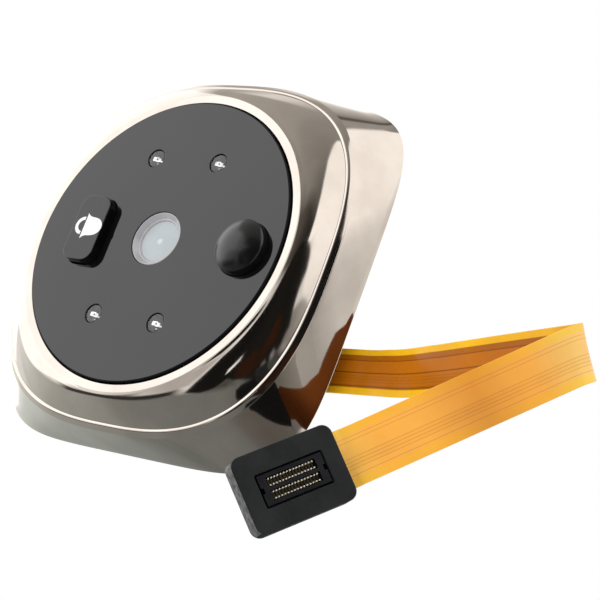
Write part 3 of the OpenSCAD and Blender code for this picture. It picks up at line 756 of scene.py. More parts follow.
def ribbon_frames():
    """Points along the ribbon, with the directions along it, across it and out of its film side."""
    points = smooth_line([Vector(p) * MM for p, w in RIBBON_ROUTE], RIBBON_PARTS)
    widths = smooth_line([Vector(w) for p, w in RIBBON_ROUTE], RIBBON_PARTS)
    last = len(points) - 1
    rows = []
    for i, point in enumerate(points):
        along = (points[min(last, i + 1)] - points[max(0, i - 1)]).normalized()
        across = (widths[i] - widths[i].dot(along) * along).normalized()
        rows.append((point, along, across, along.cross(across)))
    return rows


def plug_place():
    """Turns a place on the plug into a point: along the ribbon, across it, out of the contacts."""
    point, along, across, out = ribbon_frames()[-1]
    return lambda x, y, h: point + x * along + y * across + h * out


class DOORCAM_OT_ribbon(bpy.types.Operator):
    """Lay the ribbon along its route, with a track side and a film side"""

    bl_idname = "doorcam.ribbon"
    bl_label = "Ribbon"

    def execute(self, context):
        size = context.scene.doorcam.ribbon
        half, thick = size.width / 2, size.thickness / 2
        broken = size.thickness / 4
        spots = [half * (2 * k / RIBBON_COLUMNS - 1) for k in range(RIBBON_COLUMNS + 1)]
        inner = [min(max(s, -half + broken), half - broken) for s in spots]
        section = [(s, -thick) for s in inner] + [(half, -broken), (half, broken)]
        section += [(s, thick) for s in reversed(inner)] + [(-half, broken), (-half, -broken)]
        film_from = len(inner) + 1
        film_to = film_from + len(inner)
        frames = ribbon_frames()
        route = [row[0] for row in frames]
        reached = [0.0]
        for a, b in zip(route, route[1:]):
            reached.append(reached[-1] + (b - a).length)
        run = reached[-1]
        bm = bmesh.new()
        place_across = bm.verts.layers.float.new("across")
        place_along = bm.verts.layers.float.new("along")
        rows = []
        for (point, along, across, out), at in zip(frames, reached):
            row = []
            for s, t in section:
                vert = bm.verts.new(point + s * across + t * out)
                vert[place_across] = (s + half) / size.width
                vert[place_along] = at / run
                row.append(vert)
            rows.append(row)
        for low, high in zip(rows, rows[1:]):
            for k, face in enumerate(add_band(bm, low, high)):
                face.material_index = 1 if film_from <= k <= film_to else 0
        for end in (rows[0], rows[-1]):
            bm.faces.new(end)
        sides = [
            film_side(
                "ribbon_copper_side", size.amber, size.copper, COPPER_DARK, COPPER_DULL, COPPER_LINES,
                TRACK_PAINTED_SHADE_ALONG, (0.22, 0.34), 0.15),
            film_side(
                "ribbon_film_side", FILM_EDGE, size.film, FILM_DARK, FILM_DULL, FILM_LINES,
                FILM_PAINTED_LIGHT_ALONG, (0.32, 0.46), 0.4),
        ]
        ribbon = finish_piece("ribbon", bm, sides, CASE, ["ribbon_cable"])
        ribbon.visible_glossy = False
        plug = make_plug(size)
        make_contacts()
        return {"FINISHED"}


PLUG_LENGTH = 13.8 * MM
PLUG_WIDTH = 9.9 * MM
PLUG_HALF = 1.45 * MM
PLUG_CORNER = 1.3 * MM
PLUG_EDGE = 0.2 * MM
PLUG_END = 0.45 * MM
POCKET_LENGTH = 9.2 * MM
POCKET_WIDTH = 4.3 * MM
POCKET_DEPTH = 1.3 * MM
POCKET_CORNER = 0.25 * MM
POCKET_EDGE = 0.12 * MM
POCKET_STEPS = 4


def make_plug(size):
    """The moulded block at the ribbon's end, with the pocket that the connector sits in."""
    place = plug_place()
    middle = (PLUG_LENGTH / 2, 0.0)
    bm = bmesh.new()

    def block(offset):
        return rounded_rect_line(
            middle, PLUG_LENGTH + 2 * offset, PLUG_WIDTH + 2 * offset, PLUG_CORNER + offset)

    def pocket(offset):
        return rounded_rect_line(
            middle, POCKET_LENGTH + 2 * offset, POCKET_WIDTH + 2 * offset, POCKET_CORNER + offset,
            POCKET_STEPS)

    rows = wall_rows(-PLUG_HALF, PLUG_HALF, PLUG_EDGE, PLUG_EDGE)
    outside = [add_ring(bm, block(-inset), h, place) for inset, h in rows]
    add_stack(bm, outside)
    rows = wall_rows(PLUG_HALF - POCKET_DEPTH, PLUG_HALF, 0.0, POCKET_EDGE)[2:]
    inside = [add_ring(bm, pocket(inset), h, place) for inset, h in rows]
    add_stack(bm, inside)
    fill_flat(bm, outside[-1], inside[-1])
    fill_flat(bm, outside[0])
    fill_flat(bm, inside[0])
    start, along, across, out = ribbon_frames()[-1]
    for face in bm.faces:
        spot = face.calc_center_median() - start
        at_end = spot.dot(along) > PLUG_LENGTH - PLUG_END
        if at_end and abs(spot.dot(out)) < PLUG_HALF - PLUG_EDGE / 2:
            face.material_index = 1
    moulded = make_finish(
        "moulded_plug", size.plug, (0.018, 0.019, 0.02), (0.45, 0.6), 240,
        grain=(1500, 0.65, 0.35, 0.08 * MM), dust=(700, 0.1, 0.08, (0.04, 0.04, 0.04)),
        sockets={"Specular IOR Level": 0.25})
    scuffed = make_finish(
        "scuffed_end", (0.14, 0.14, 0.137), (0.05, 0.05, 0.05), (0.5, 0.7), 1300,
        grain=(2200, 0.7, 0.6, 0.12 * MM), dust=(1500, 0.14, 0.25, (0.008, 0.008, 0.008)))
    return finish_piece("plug_body", bm, [moulded, scuffed], CASE, ["plug_block"])


PINS = 15
PIN_PITCH = 0.43 * MM
PIN_ROW = 0.82 * MM
PIN_FLOOR = 0.65 * MM
PIN_TOP = 1.32 * MM
PIN_EDGE = 0.07 * MM
# Width, height and corner of a contact's tip and of the strip that joins two of them
PIN_TIP = (0.17 * MM, 0.21 * MM, 0.08 * MM)
PIN_LINK = (0.18 * MM, 0.82 * MM, 0.05 * MM)
PIN_LINK_TOP = 0.8 * MM
PIN_TIP_STEPS = 3
PIN_LINK_STEPS = 2


def make_contacts():
    """Bent contacts in two double rows, each with two rounded tips joined at the bottom by a strip in a
    dark painted shade.
    """
    place = plug_place()
    link_rows = [(0.0, PIN_FLOOR), (0.0, PIN_LINK_TOP)]
    tip_rows = [(0.0, PIN_FLOOR)]
    tip_rows += [(inset, PIN_TOP - drop) for inset, drop in round_over(PIN_EDGE, SMALL_ROUND_STEPS)]
    bm = bmesh.new()
    for k in range(PINS):
        x = PLUG_LENGTH / 2 + (k - (PINS - 1) / 2) * PIN_PITCH
        for side in (-PIN_ROW, PIN_ROW):
            done = len(bm.faces)
            add_block(bm, (x, side), PIN_LINK, link_rows, PIN_LINK_STEPS, place)
            paint(bm, done, 1)
            for tip in (side - PIN_ROW / 2, side + PIN_ROW / 2):
                add_block(bm, (x, tip), PIN_TIP, tip_rows, PIN_TIP_STEPS, place)
    # Painted shade: the strips down in the slot get a dark dull copy of the contact metal
    foot = make_finish(
        "contact_strip_painted_shade", (0.05, 0.035, 0.014), (0.03, 0.022, 0.01), (0.5, 0.65), 900,
        grain=(4000, 0.5, 0.1, 0.01 * MM), sockets={"Specular IOR Level": 0.2})
    tips = make_finish(
        "contact_gold", (1.0, 0.94, 0.74), (1.0, 0.9, 0.64), (0.35, 0.5), 900,
        grain=(6000, 0.5, 0.1, 0.01 * MM), sockets={"Metallic": 0.45})
    return finish_piece("contact_tips", bm, [tips, foot], CASE, ["plug_contacts"])


# How much of the flank's fall is even. The rest of it steepens toward the ledge
FLANK_FIRST = 1.5 * MM
RING_LEAD = 0.4 * MM
RING_DROP = 0.2 * MM
RING_BLEND = 0.22 * MM
RING_ROWS = 6
FLANK_ROWS = 16
FLANK_FOOT = 0.985
# How far the blends at the top and at the bottom of the ledge's slope reach, as shares of the slope
LEDGE_SOFT = 0.32
LEDGE_SHARP = 0.1
LEDGE_ROWS = 4
SKIRT_ROWS = 8
SHELL_WALL = 1.4 * MM
SHELL_RIM = 1.1 * MM
SHELL_PLAY = 0.15 * MM
SEAT_TOP = 11.4 * MM
SEAT_RADIUS = 26.05 * MM
COVER_TOP = 2.4 * MM
STEP_CORNER = 1.18
RIM_CORNER = 1.215


def shell_stations(size):
    """Stations round the shell's wall, each a height, a half width and a corner reach."""
    skirt_top = size.ledge_height - size.ledge_round
    skirt_half = size.ledge_half + size.ledge_flat + size.ledge_round
    flank_half = size.ring_radius + RING_LEAD
    flank_top = RING_TOP - RING_DROP

    def skirt(h):
        u = 1 - h / skirt_top
        corner = size.ledge_corner + (size.base_corner - size.ledge_corner) * u
        return h, skirt_half + (SHELL_HALF - skirt_half) * u, corner

    def flank(v):
        rise = flank_top - size.ledge_height
        h = flank_top - FLANK_FIRST * v - (rise - FLANK_FIRST) * v * v
        return h, flank_half + (size.ledge_half - flank_half) * v, 1 + (size.ledge_corner - 1) * v

    back_half = skirt(size.back_round)[1]
    rows = [(0.0, SHELL_HALF - SHELL_RIM, size.base_corner)]
    for inset, drop in reversed(round_over(size.back_round)):
        rows.append((drop, back_half - inset, size.base_corner))
    for k in range(1, SKIRT_ROWS):
        rows.append(skirt(size.back_round + (skirt_top - size.back_round) * k / SKIRT_ROWS))
    corner = size.ledge_corner
    sharp = LEDGE_SHARP * size.ledge_round
    rows += bow(
        skirt(skirt_top - sharp), (skirt_top, skirt_half, corner),
        (skirt_top + sharp, skirt_half - sharp, corner), LEDGE_ROWS)
    ledge = size.ledge_height
    ledge_out = skirt_half - size.ledge_round
    soft = LEDGE_SOFT * size.ledge_round
    rows += bow(
        (ledge - soft, ledge_out + soft, corner), (ledge, ledge_out, corner),
        (ledge, ledge_out - soft, corner), LEDGE_ROWS)
    rows += bow(
        (ledge, size.ledge_half + size.ledge_fillet, corner), (ledge, size.ledge_half, corner),
        flank(FLANK_FOOT), LEDGE_ROWS)
    for k in range(1, FLANK_ROWS):
        rows.append(flank(FLANK_FOOT * (1 - k / FLANK_ROWS)))
    crest = flank_half - RING_DROP * (size.ledge_half - flank_half) / FLANK_FIRST
    rows += bow(flank(0.0), (RING_TOP, crest, 1.0), (RING_TOP, crest - RING_BLEND, 1.0), RING_ROWS)
    for inset, drop in reversed(round_over(size.ring_round)):
        rows.append((RING_TOP - drop, size.lip_radius + inset, 1.0))
    rows += [
        (SEAT_TOP, size.lip_radius, 1.0),
        (SEAT_TOP, SEAT_RADIUS, 1.0),
        (skirt_top, size.ledge_half - SHELL_WALL - SHELL_PLAY, corner),
        (COVER_TOP, SHELL_HALF - SHELL_WALL - SHELL_RIM, STEP_CORNER),
        (COVER_TOP, SHELL_HALF - SHELL_RIM - SHELL_PLAY, RIM_CORNER),
    ]
    return rows


class DOORCAM_OT_shell(bpy.types.Operator):
    """Loft the plated shell from its skirt, ledge, flank and ring"""

    bl_idname = "doorcam.shell"
    bl_label = "Shell"

    def execute(self, context):
        size = context.scene.doorcam.shell
        bm = bmesh.new()
        rings = []
        for h, half, corner in shell_stations(size):
            rings.append(add_ring(bm, rounded_square_line(half, corner), h))
        add_stack(bm, rings + rings[:1])
        plating = make_finish(
            "polished_plating", size.plating, size.haze, (0.05, 0.1), 110,
            grain=(260, 0.3, 0.02, 0.05 * MM), sockets={"Metallic": 1.0})
        finish_piece("shell", bm, [plating], CASE, ["housing_shell"])
        return {"FINISHED"}


LAMP_FLANGE_R = 1.8 * MM
LAMP_FLANGE_FRONT = 9 * MM
LAMP_R = 1.55 * MM


def lamp_places():
    """Middles of the four lamps seen from the front."""
    x = LAMP_HIGH.x - LAMP_FLANGE_R
    z = LAMP_HIGH.z - LAMP_FLANGE_R
    return [(sx * x, sz * z) for sx in (-1, 1) for sz in (-1, 1)]


PANEL_BACK_ROUND = 0.05 * MM


class DOORCAM_OT_face(bpy.types.Operator):
    """Cut the polished black face with its holes"""

    bl_idname = "doorcam.face"
    bl_label = "Face"

    def execute(self, context):
        size = context.scene.doorcam.face
        button = context.scene.doorcam.button
        play = size.button_play
        holes = [
            lambda d: rounded_rect_line(
                BUTTON_AT, button.width + 2 * (play + d), button.height + 2 * (play + d),
                button.corner + play + d),
            lambda d: circle_line(DOME_AT, DOME_R + size.dome_play + d),
            lambda d: circle_line((0.0, 0.0), WINDOW_R + size.window_play + d),
        ]
        for at in lamp_places():
            holes.append(lambda d, at=at: circle_line(at, size.lamp_hole + d, HOLE_STEPS))
        bm = bmesh.new()
        add_plate(
            bm, lambda d: circle_line((0.0, 0.0), PANEL_R + d, RIM_STEPS), holes, PANEL_BACK, FACE,
            (PANEL_BACK_ROUND, size.rim_round), (PANEL_BACK_ROUND, size.hole_round))
        flat_to = PANEL_R - size.rim_round - 0.5 * SUPPORT
        for face in bm.faces:
            middle = face.calc_center_median()
            if math.hypot(middle.x, middle.z) > flat_to:
                face.material_index = 1
        gloss = make_finish(
            "gloss_face", size.gloss, (0.006, 0.006, 0.0065), (0.03, 0.07), 60,
            grain=(900, 0.4, 0.01, 0.02 * MM), dust=(420, 0.035, 0.12, (0.05, 0.05, 0.05)),
            sockets={"Coat Weight": 0.4, "Coat Roughness": 0.04, "IOR": 1.5})
        cut = make_finish(
            "cut_edge", (0.006, 0.006, 0.0065), (0.01, 0.01, 0.0105), (0.5, 0.65), 300,
            grain=(2600, 0.6, 0.2, 0.03 * MM), sockets={"Specular IOR Level": 0.15})
        finish_piece("face_disc", bm, [gloss, cut], CASE, ["face_panel"])
        return {"FINISHED"}


# Right half of the bell from the mouth to the crown, in millimetres
BELL_SIDE = (
    (2.32, -0.6), (1.93, -0.2), (1.71, 0.4), (1.62, 1.2), (1.47, 2.0), (1.12, 2.65), (0.6, 3.07),
    (0.0, 3.22))
BELL_PARTS = 4
CLAPPER_OUT = 1.6 * MM
CLAPPER_IN = 1.0 * MM
CLAPPER_TOP = -0.9 * MM
CLAPPER_STEPS = 24
FLANGE_EDGE = 0.1 * MM


def bell_lines(at):
    """Outlines of the bell's body and of its clapper."""
    right = smooth_line([Vector(p) * MM for p in BELL_SIDE], BELL_PARTS)
    left = [Vector((-p.x, p.y)) for p in reversed(right[:-1])]
    body = [(at[0] + p.x, at[1] + p.y) for p in right + left]
    turns = [math.pi + math.pi * k / CLAPPER_STEPS for k in range(CLAPPER_STEPS + 1)]
    outer = [(CLAPPER_OUT * math.cos(t), CLAPPER_OUT * math.sin(t)) for t in turns]
    inner = [(CLAPPER_IN * math.cos(t), CLAPPER_IN * math.sin(t)) for t in reversed(turns)]
    clapper = [(at[0] + x, at[1] + CLAPPER_TOP + y) for x, y in outer + inner]
    return body, clapper


class DOORCAM_OT_button(bpy.types.Operator):
    """Make the doorbell button and the bell printed on it"""

    bl_idname = "doorcam.button"
    bl_label = "Doorbell button"

    def execute(self, context):
        size = context.scene.doorcam.button
        rows = [(inset - size.flange, h) for inset, h in
                wall_rows(size.flange_back, size.flange_front, FLANGE_EDGE, FLANGE_EDGE)]
        foot = reversed(round_over(FLANGE_EDGE, SMALL_ROUND_STEPS))
        rows += [(-inset, size.flange_front + drop) for inset, drop in foot]
        rows += [(inset, BUTTON_TOP - drop) for inset, drop in round_over(size.edge)]
        rows.append((size.edge + SUPPORT, BUTTON_TOP))
        bm = bmesh.new()
        add_block(bm, BUTTON_AT, (size.width, size.height, size.corner), rows)
        add_turned(bm, BUTTON_AT, [
            (0.0, size.stem_back), (size.stem_radius, size.stem_back),
            (size.stem_radius, size.flange_back), (0.0, size.flange_back)])
        gloss = make_finish(
            "gloss_cap", size.cap, (0.004, 0.004, 0.005), (0.08, 0.13), 200,
            grain=(3000, 0.6, 0.03, 0.02 * MM), dust=(900, 0.05, 0.06, (0.06, 0.06, 0.06)),
            sockets={"Coat Weight": 0.35, "Coat Roughness": 0.1, "IOR": 1.5})
        finish_piece("button_cap", bm, [gloss], BUTTON, ["doorbell_button"])
        bm = bmesh.new()
        for line in bell_lines((BUTTON_AT[0] + size.bell_shift, BUTTON_AT[1])):
            add_solid(bm, [add_ring(bm, line, h) for h in (BELL_BACK, BELL_FRONT)])
        ink = make_finish(
            "bell_ink", size.print_white, (0.84, 0.84, 0.84), (0.45, 0.6), 900,
            grain=(5000, 0.5, 0.15, 0.01 * MM))
        finish_piece("bell_print", bm, [ink], BUTTON, ["bell_mark"])
        return {"FINISHED"}


DOME_SHOULDER_R = 4.5 * MM
DOME_WALL = 1.5 * MM
DOME_BORE = 3.45 * MM
DOME_ROWS = 18
# The blend at the shoulder starts this share down the wall, and ends this share out on the cap
DOME_LEAD = 0.12
DOME_CREST = 0.93
DOME_BLEND_ROWS = 6
SAME_PLACE = 1e-7


class DOORCAM_OT_dome(bpy.types.Operator):
    """Turn the black motion dome"""

    bl_idname = "doorcam.dome"
    bl_label = "Motion dome"

    def execute(self, context):
        shoulder = FACE + DOME_WALL
        cap = cap_rows(DOME_SHOULDER_R, DOME_TOP - shoulder, DOME_TOP, DOME_CREST, DOME_ROWS)
        wall_end = (
            DOME_SHOULDER_R + DOME_LEAD * (DOME_R - DOME_SHOULDER_R), shoulder - DOME_LEAD * DOME_WALL)
        rows = [(DOME_BORE, DOME_BACK), (DOME_R, DOME_BACK), (DOME_R, FACE)]
        rows += bow(wall_end, (DOME_SHOULDER_R, shoulder), cap[0], DOME_BLEND_ROWS) + cap[1:]
        bm = bmesh.new()
        add_turned(bm, DOME_AT, rows)
        add_turned(bm, DOME_AT, [(DOME_BORE, DOME_BACK), (DOME_BORE, shoulder), (0.0, shoulder)])
        bmesh.ops.remove_doubles(bm, verts=bm.verts, dist=SAME_PLACE)
        gloss = make_finish(
            "gloss_dome", (0.003, 0.003, 0.0035), (0.004, 0.004, 0.0045), (0.2, 0.28), 150,
            grain=(900, 0.4, 0.02, 0.03 * MM), dust=(800, 0.05, 0.05, (0.05, 0.05, 0.05)),
            sockets={"Coat Weight": 0.3, "Coat Roughness": 0.2, "IOR": 1.5})
        finish_piece("motion_dome", bm, [gloss], CASE, ["pir_dome"])
        return {"FINISHED"}


WINDOW_RIM = 0.12 * MM
WINDOW_EDGE = 0.06 * MM
WINDOW_LIP_R = 3.95 * MM
WINDOW_LIP = 12.62 * MM
WINDOW_LIP_ROUND = 0.14 * MM
WINDOW_LIP_ROWS = 4
WINDOW_FLOOR_R = 3.5 * MM
WINDOW_FLOOR = 12.36 * MM
WINDOW_SLOPE_ROWS = (0.1, 0.5, 0.9)
WINDOW_FLOOR_ROWS = (0.9, 0.6, 0.3)
# Painted highlight in the middle of the film, for the glint of the lens behind it: where it starts to fade,
# where it ends and how strong it is
PAINTED_GLINT_FROM = 0.15 * MM
PAINTED_GLINT_TO = 0.8 * MM
PAINTED_GLINT_LEVEL = 0.55
PAINTED_GLINT_TONE = (0.72, 0.76, 0.77, 1)


class DOORCAM_OT_window(bpy.types.Operator):
    """Turn the dished camera window"""

    bl_idname = "doorcam.window"
    bl_label = "Camera window"

    def execute(self, context):
        size = context.scene.doorcam.face
        rim = WINDOW_R - WINDOW_RIM
        foot = WINDOW_FLOOR_R
        lip = WINDOW_LIP_R
        rows = [(0.0, WINDOW_BACK), (WINDOW_R, WINDOW_BACK)]
        for inset, drop in round_over(WINDOW_EDGE, SMALL_ROUND_STEPS):
            rows.append((WINDOW_R - inset, WINDOW_TOP - drop))
        rows.append((rim, WINDOW_TOP))
        for t in WINDOW_SLOPE_ROWS:
            rows.append((rim + (lip - rim) * t, WINDOW_TOP + (WINDOW_LIP - WINDOW_TOP) * t))
        rows += [(lip, WINDOW_LIP), (lip - SUPPORT, WINDOW_LIP)]
        wall = lip - 2 * WINDOW_LIP_ROUND
        for inset, drop in reversed(round_over(WINDOW_LIP_ROUND, WINDOW_LIP_ROWS)):
            rows.append((wall + inset, WINDOW_LIP - drop))
        rows += [(foot + SUPPORT, WINDOW_FLOOR), (foot, WINDOW_FLOOR)]
        rows += [(foot * t, WINDOW_FLOOR) for t in WINDOW_FLOOR_ROWS]
        rows.append((0.0, WINDOW_FLOOR))
        bm = bmesh.new()
        add_turned(bm, (0.0, 0.0), rows)
        half_way = (WINDOW_BACK + WINDOW_FLOOR) / 2
        for face in bm.faces:
            middle = face.calc_center_median()
            on_floor = math.hypot(middle.x, middle.z) < foot and -middle.y > half_way
            face.material_index = 1 if on_floor else 0
        bevel = make_finish(
            "window_bevel", size.bevel, (0.45, 0.44, 0.455), (0.16, 0.28), 500,
            grain=(2400, 0.5, 0.08, 0.02 * MM), sockets={"Coat Weight": 0.6, "Coat Roughness": 0.06})
        finish_piece("camera_window", bm, [bevel, self.film(size)], CASE, ["lens_window"])
        return {"FINISHED"}

    def film(self, size):
        """The milky film on the window, with a painted highlight in the middle for the glint of the lens
        behind it.
        """
        film, shader = start_material("window_film", {
            "Coat Weight": 0.5, "Coat Roughness": 0.08, "IOR": 1.5})
        tree = film.node_tree
        drift = place_group(tree, two_tone_group(), {
            "Colour": (*size.film, 1), "Second colour": (0.38, 0.425, 0.44, 1),
            "Scale": 260.0, "Low": 0.22, "High": 0.36})
        where = add_node(tree, "ShaderNodeTexCoord")
        flat = add_node(tree, "ShaderNodeVectorMath", {1: (1.0, 0.0, 1.0)}, operation="MULTIPLY")
        reach = add_node(tree, "ShaderNodeVectorMath", operation="LENGTH")
        # Painted highlight: a pale patch mixed into the film's colour round the middle, standing in for the
        # lens glint
        spot = add_node(
            tree, "ShaderNodeMapRange",
            {"From Min": PAINTED_GLINT_FROM, "From Max": PAINTED_GLINT_TO, "To Min": PAINTED_GLINT_LEVEL, "To Max": 0.0},
            interpolation_type="SMOOTHERSTEP")
        painted_glint = add_node(tree, "ShaderNodeMix", {"B": PAINTED_GLINT_TONE}, data_type="RGBA")
        join(
            tree,
            (where, "Object", flat, 0), (flat, "Vector", reach, 0), (reach, "Value", spot, "Value"),
            (spot, "Result", painted_glint, "Factor"), (drift, "Colour", painted_glint, "A"),
            (painted_glint, "Result", shader, "Base Color"), (drift, "Value", shader, "Roughness"))
        return film


LAMP_CAP = 0.14 * MM
LAMP_CROWN = LAMP_TOP + 0.13 * MM
LAMP_ROWS = 8
LAMP_CREST = 0.94
LAMP_BLEND = 0.1 * MM
LAMP_BLEND_ROWS = 4
LAMP_STEPS = 40
BASE_R = 1.5 * MM
BASE_TOP = 13.1 * MM
BASE_FOOT = 11.4 * MM
BASE_EDGE = 0.2 * MM
BASE_STEPS = 32
POST_R = 0.24 * MM
POST_REACH = 0.62 * MM
POST_LEAD = 0.1 * MM
POST_STEPS = 12
# Bright metal under the lens: place across and up, width, height and corner, in millimetres
ANVILS = (
    (0.06, -0.16, 0.84, 1.3, 0.26), (0.2, 0.42, 0.78, 1.1, 0.3), (0.4, 1.02, 0.4, 0.56, 0.18),
    (0.9, 0.5, 0.2, 0.5, 0.09),
)
ANVIL_STEP = 0.006 * MM
ANVIL_TOP = 13.18 * MM
ANVIL_EDGE = 0.07 * MM
ANVIL_CORNER_STEPS = 4
DIE_SHIFT = (0.1 * MM, 0.12 * MM)
# Width, height and corner of the die
DIE = (0.32 * MM, 0.32 * MM, 0.04 * MM)
DIE_TOP = 13.22 * MM
DIE_CORNER_STEPS = 2
# Gap that keeps two flats apart
HAIR = 0.005 * MM


class DOORCAM_OT_lamps(bpy.types.Operator):
    """Turn the clear infrared lamps and the bright metal inside them"""

    bl_idname = "doorcam.lamps"
    bl_label = "Infrared lamps"

    def execute(self, context):
        self.make_lenses()
        self.make_cups()
        return {"FINISHED"}

    def make_lenses(self):
        """The clear bodies with their low round fronts."""
        shoulder = LAMP_CROWN - LAMP_CAP
        cap = cap_rows(LAMP_R, LAMP_CAP, LAMP_CROWN, LAMP_CREST, LAMP_ROWS)
        rows = [
            (0.0, LAMP_BACK), (LAMP_FLANGE_R, LAMP_BACK), (LAMP_FLANGE_R, LAMP_FLANGE_FRONT),
            (LAMP_R, LAMP_FLANGE_FRONT)]
        rows += bow((LAMP_R, shoulder - LAMP_BLEND), (LAMP_R, shoulder), cap[0], LAMP_BLEND_ROWS) + cap[1:]
        clear, shader = start_material("lamp_clear", {
            "Base Color": (0.97, 0.98, 0.98, 1), "Transmission Weight": 1.0, "IOR": 1.5})
        drift = place_group(
            clear.node_tree, two_tone_group(), {"Scale": 500.0, "Low": 0.0, "High": 0.03})
        join(clear.node_tree, (drift, "Value", shader, "Roughness"))
        bm = bmesh.new()
        for at in lamp_places():
            add_turned(bm, at, rows, LAMP_STEPS)
        lenses = finish_piece("lamp_lenses", bm, [clear], CASE, ["ir_lamps"])
        lenses.visible_shadow = False

    def make_cups(self):
        """The base, the posts, the bright metal and the die inside each lamp."""
        post_back = LAMP_BACK + POST_LEAD
        post_front = BASE_FOOT + POST_LEAD
        bm = bmesh.new()
        for x, z in lamp_places():
            add_turned(bm, (x, z), [
                (0.0, BASE_FOOT), (BASE_R - BASE_EDGE, BASE_FOOT), (BASE_R, BASE_FOOT + BASE_EDGE),
                (BASE_R, BASE_TOP), (0.0, BASE_TOP)], BASE_STEPS)
            for side in (-POST_REACH, POST_REACH):
                add_turned(bm, (x + side, z), [
                    (0.0, post_back), (POST_R, post_back), (POST_R, post_front), (0.0, post_front)],
                    POST_STEPS)
            done = len(bm.faces)
            for k, anvil in enumerate(ANVILS):
                across, up, *sizes = (value * MM for value in anvil)
                top = ANVIL_TOP - k * ANVIL_STEP
                rows = [(0.0, BASE_TOP + HAIR)]
                rows += [(inset, top - drop) for inset, drop in round_over(ANVIL_EDGE, SMALL_ROUND_STEPS)]
                add_block(bm, (x + across, z + up), sizes, rows, ANVIL_CORNER_STEPS)
            paint(bm, done, 1)
            done = len(bm.faces)
            rows = [(0.0, ANVIL_TOP + HAIR), (0.0, DIE_TOP)]
            add_block(bm, (x + DIE_SHIFT[0], z + DIE_SHIFT[1]), DIE, rows, DIE_CORNER_STEPS)
            paint(bm, done, 2)
        milky = make_finish(
            "lamp_base", (0.17, 0.17, 0.17), (0.12, 0.12, 0.12), (0.5, 0.65), 1500,
            grain=(5000, 0.6, 0.2, 0.02 * MM))
        bright = make_finish(
            "lamp_metal", (0.95, 0.95, 0.93), (0.8, 0.8, 0.78), (0.2, 0.4), 1800,
            grain=(3500, 0.6, 0.25, 0.03 * MM), sockets={"Metallic": 1.0})
        die = make_finish("lamp_die", (0.5, 0.45, 0.3), (0.42, 0.36, 0.22), (0.3, 0.4), 2000)
        finish_piece("lamp_cups", bm, [milky, bright, die], CASE)


PAD_HALF = 28.5 * MM
PAD_CORNER = 1.2
# Rounding of the pad's edges on the side of the door, and on the side of the cover
PAD_EDGES = (0.22 * MM, 0.04 * MM)
SCREW_REACH = 27.8 * MM
SCREW_GAP_R = 2.6 * MM
SCREW_GAP_STEPS = 40
INSERT_GAP_R = 3.4 * MM
# Width, height and corner of the gap round the ribbon
SLOT_GAP = (11.2 * MM, 5.6 * MM, 2.1 * MM)
SLOT_GAP_STEPS = 8
THREAD_PITCH = 0.7 * MM
THREAD_DEPTH = 0.32 * MM
THREAD_ROWS = 46
THREAD_STEPS = 40
# The thread fades in over one part in this many of its length
THREAD_FADE = 4
INSERT_BORE = 2.0 * MM
INSERT_LEAD = 0.1 * MM
INSERT_EDGE = 0.15 * MM


class DOORCAM_OT_back(bpy.types.Operator):
    """Make the foam pad and the threaded bushes of the back"""

    bl_idname = "doorcam.back"
    bl_label = "Back"

    def execute(self, context):
        reach = SCREW_REACH / math.sqrt(2)
        holes = [
            lambda d, at=(sx * reach, sz * reach): circle_line(at, SCREW_GAP_R + d, SCREW_GAP_STEPS)
            for sx in (-1, 1) for sz in (-1, 1)]
        holes += [
            lambda d, z=z: circle_line((0.0, z), INSERT_GAP_R + d, HOLE_STEPS)
            for z in (-INSERT_Z, INSERT_Z)]
        holes.append(lambda d: rounded_rect_line(
            GROMMET_AT, SLOT_GAP[0] + 2 * d, SLOT_GAP[1] + 2 * d, SLOT_GAP[2] + d, SLOT_GAP_STEPS))
        bm = bmesh.new()
        add_plate(
            bm, lambda d: rounded_square_line(PAD_HALF + d, PAD_CORNER, RIM_STEPS), holes,
            PAD_BACK, PAD_FRONT, PAD_EDGES, PAD_EDGES)
        foam = make_finish(
            "closed_foam", (0.03, 0.03, 0.031), (0.048, 0.048, 0.049), (0.75, 0.92), 130,
            grain=(1600, 0.75, 0.8, 0.25 * MM), dust=(1300, 0.16, 0.3, (0.012, 0.012, 0.012)))
        pad = finish_piece("foam_pad", bm, [foam], CASE, ["mounting_pad"])
        bm = bmesh.new()
        for z in (-INSERT_Z, INSERT_Z):
            self.add_bush(bm, (0.0, z))
        finish_piece("threaded_bushes", bm, [slot_finish("brass")], CASE, ["threaded_inserts"])
        return {"FINISHED"}

    def add_bush(self, bm, at):
        """A brass bush with a real thread in its bore."""
        lead = INSERT_BORE + INSERT_LEAD
        broken = INSERT_R - INSERT_EDGE
        outside = [add_ring(bm, circle_line(at, r, THREAD_STEPS), h) for r, h in (
            (lead, INSERT_BACK), (broken, INSERT_BACK),
            (INSERT_R, INSERT_BACK + INSERT_EDGE), (INSERT_R, INSERT_FRONT - INSERT_EDGE),
            (broken, INSERT_FRONT), (lead, INSERT_FRONT))]
        add_stack(bm, outside)
        deep = INSERT_FRONT - INSERT_BACK
        bore = []
        for row in range(THREAD_ROWS + 1):
            h = INSERT_FRONT - deep * row / THREAD_ROWS
            ease = min(1.0, THREAD_FADE * min(row, THREAD_ROWS - row) / THREAD_ROWS)
            ring = []
            for k in range(THREAD_STEPS):
                t = math.tau * k / THREAD_STEPS
                turn = (h / THREAD_PITCH - k / THREAD_STEPS) % 1.0
                crest = 1 - abs(2 * turn - 1)
                r = INSERT_BORE - ease * THREAD_DEPTH * crest
                ring.append(bm.verts.new(from_front(at[0] + r * math.cos(t), at[1] + r * math.sin(t), h)))
            bore.append(ring)
        add_stack(bm, [outside[-1]] + bore + [outside[0]])


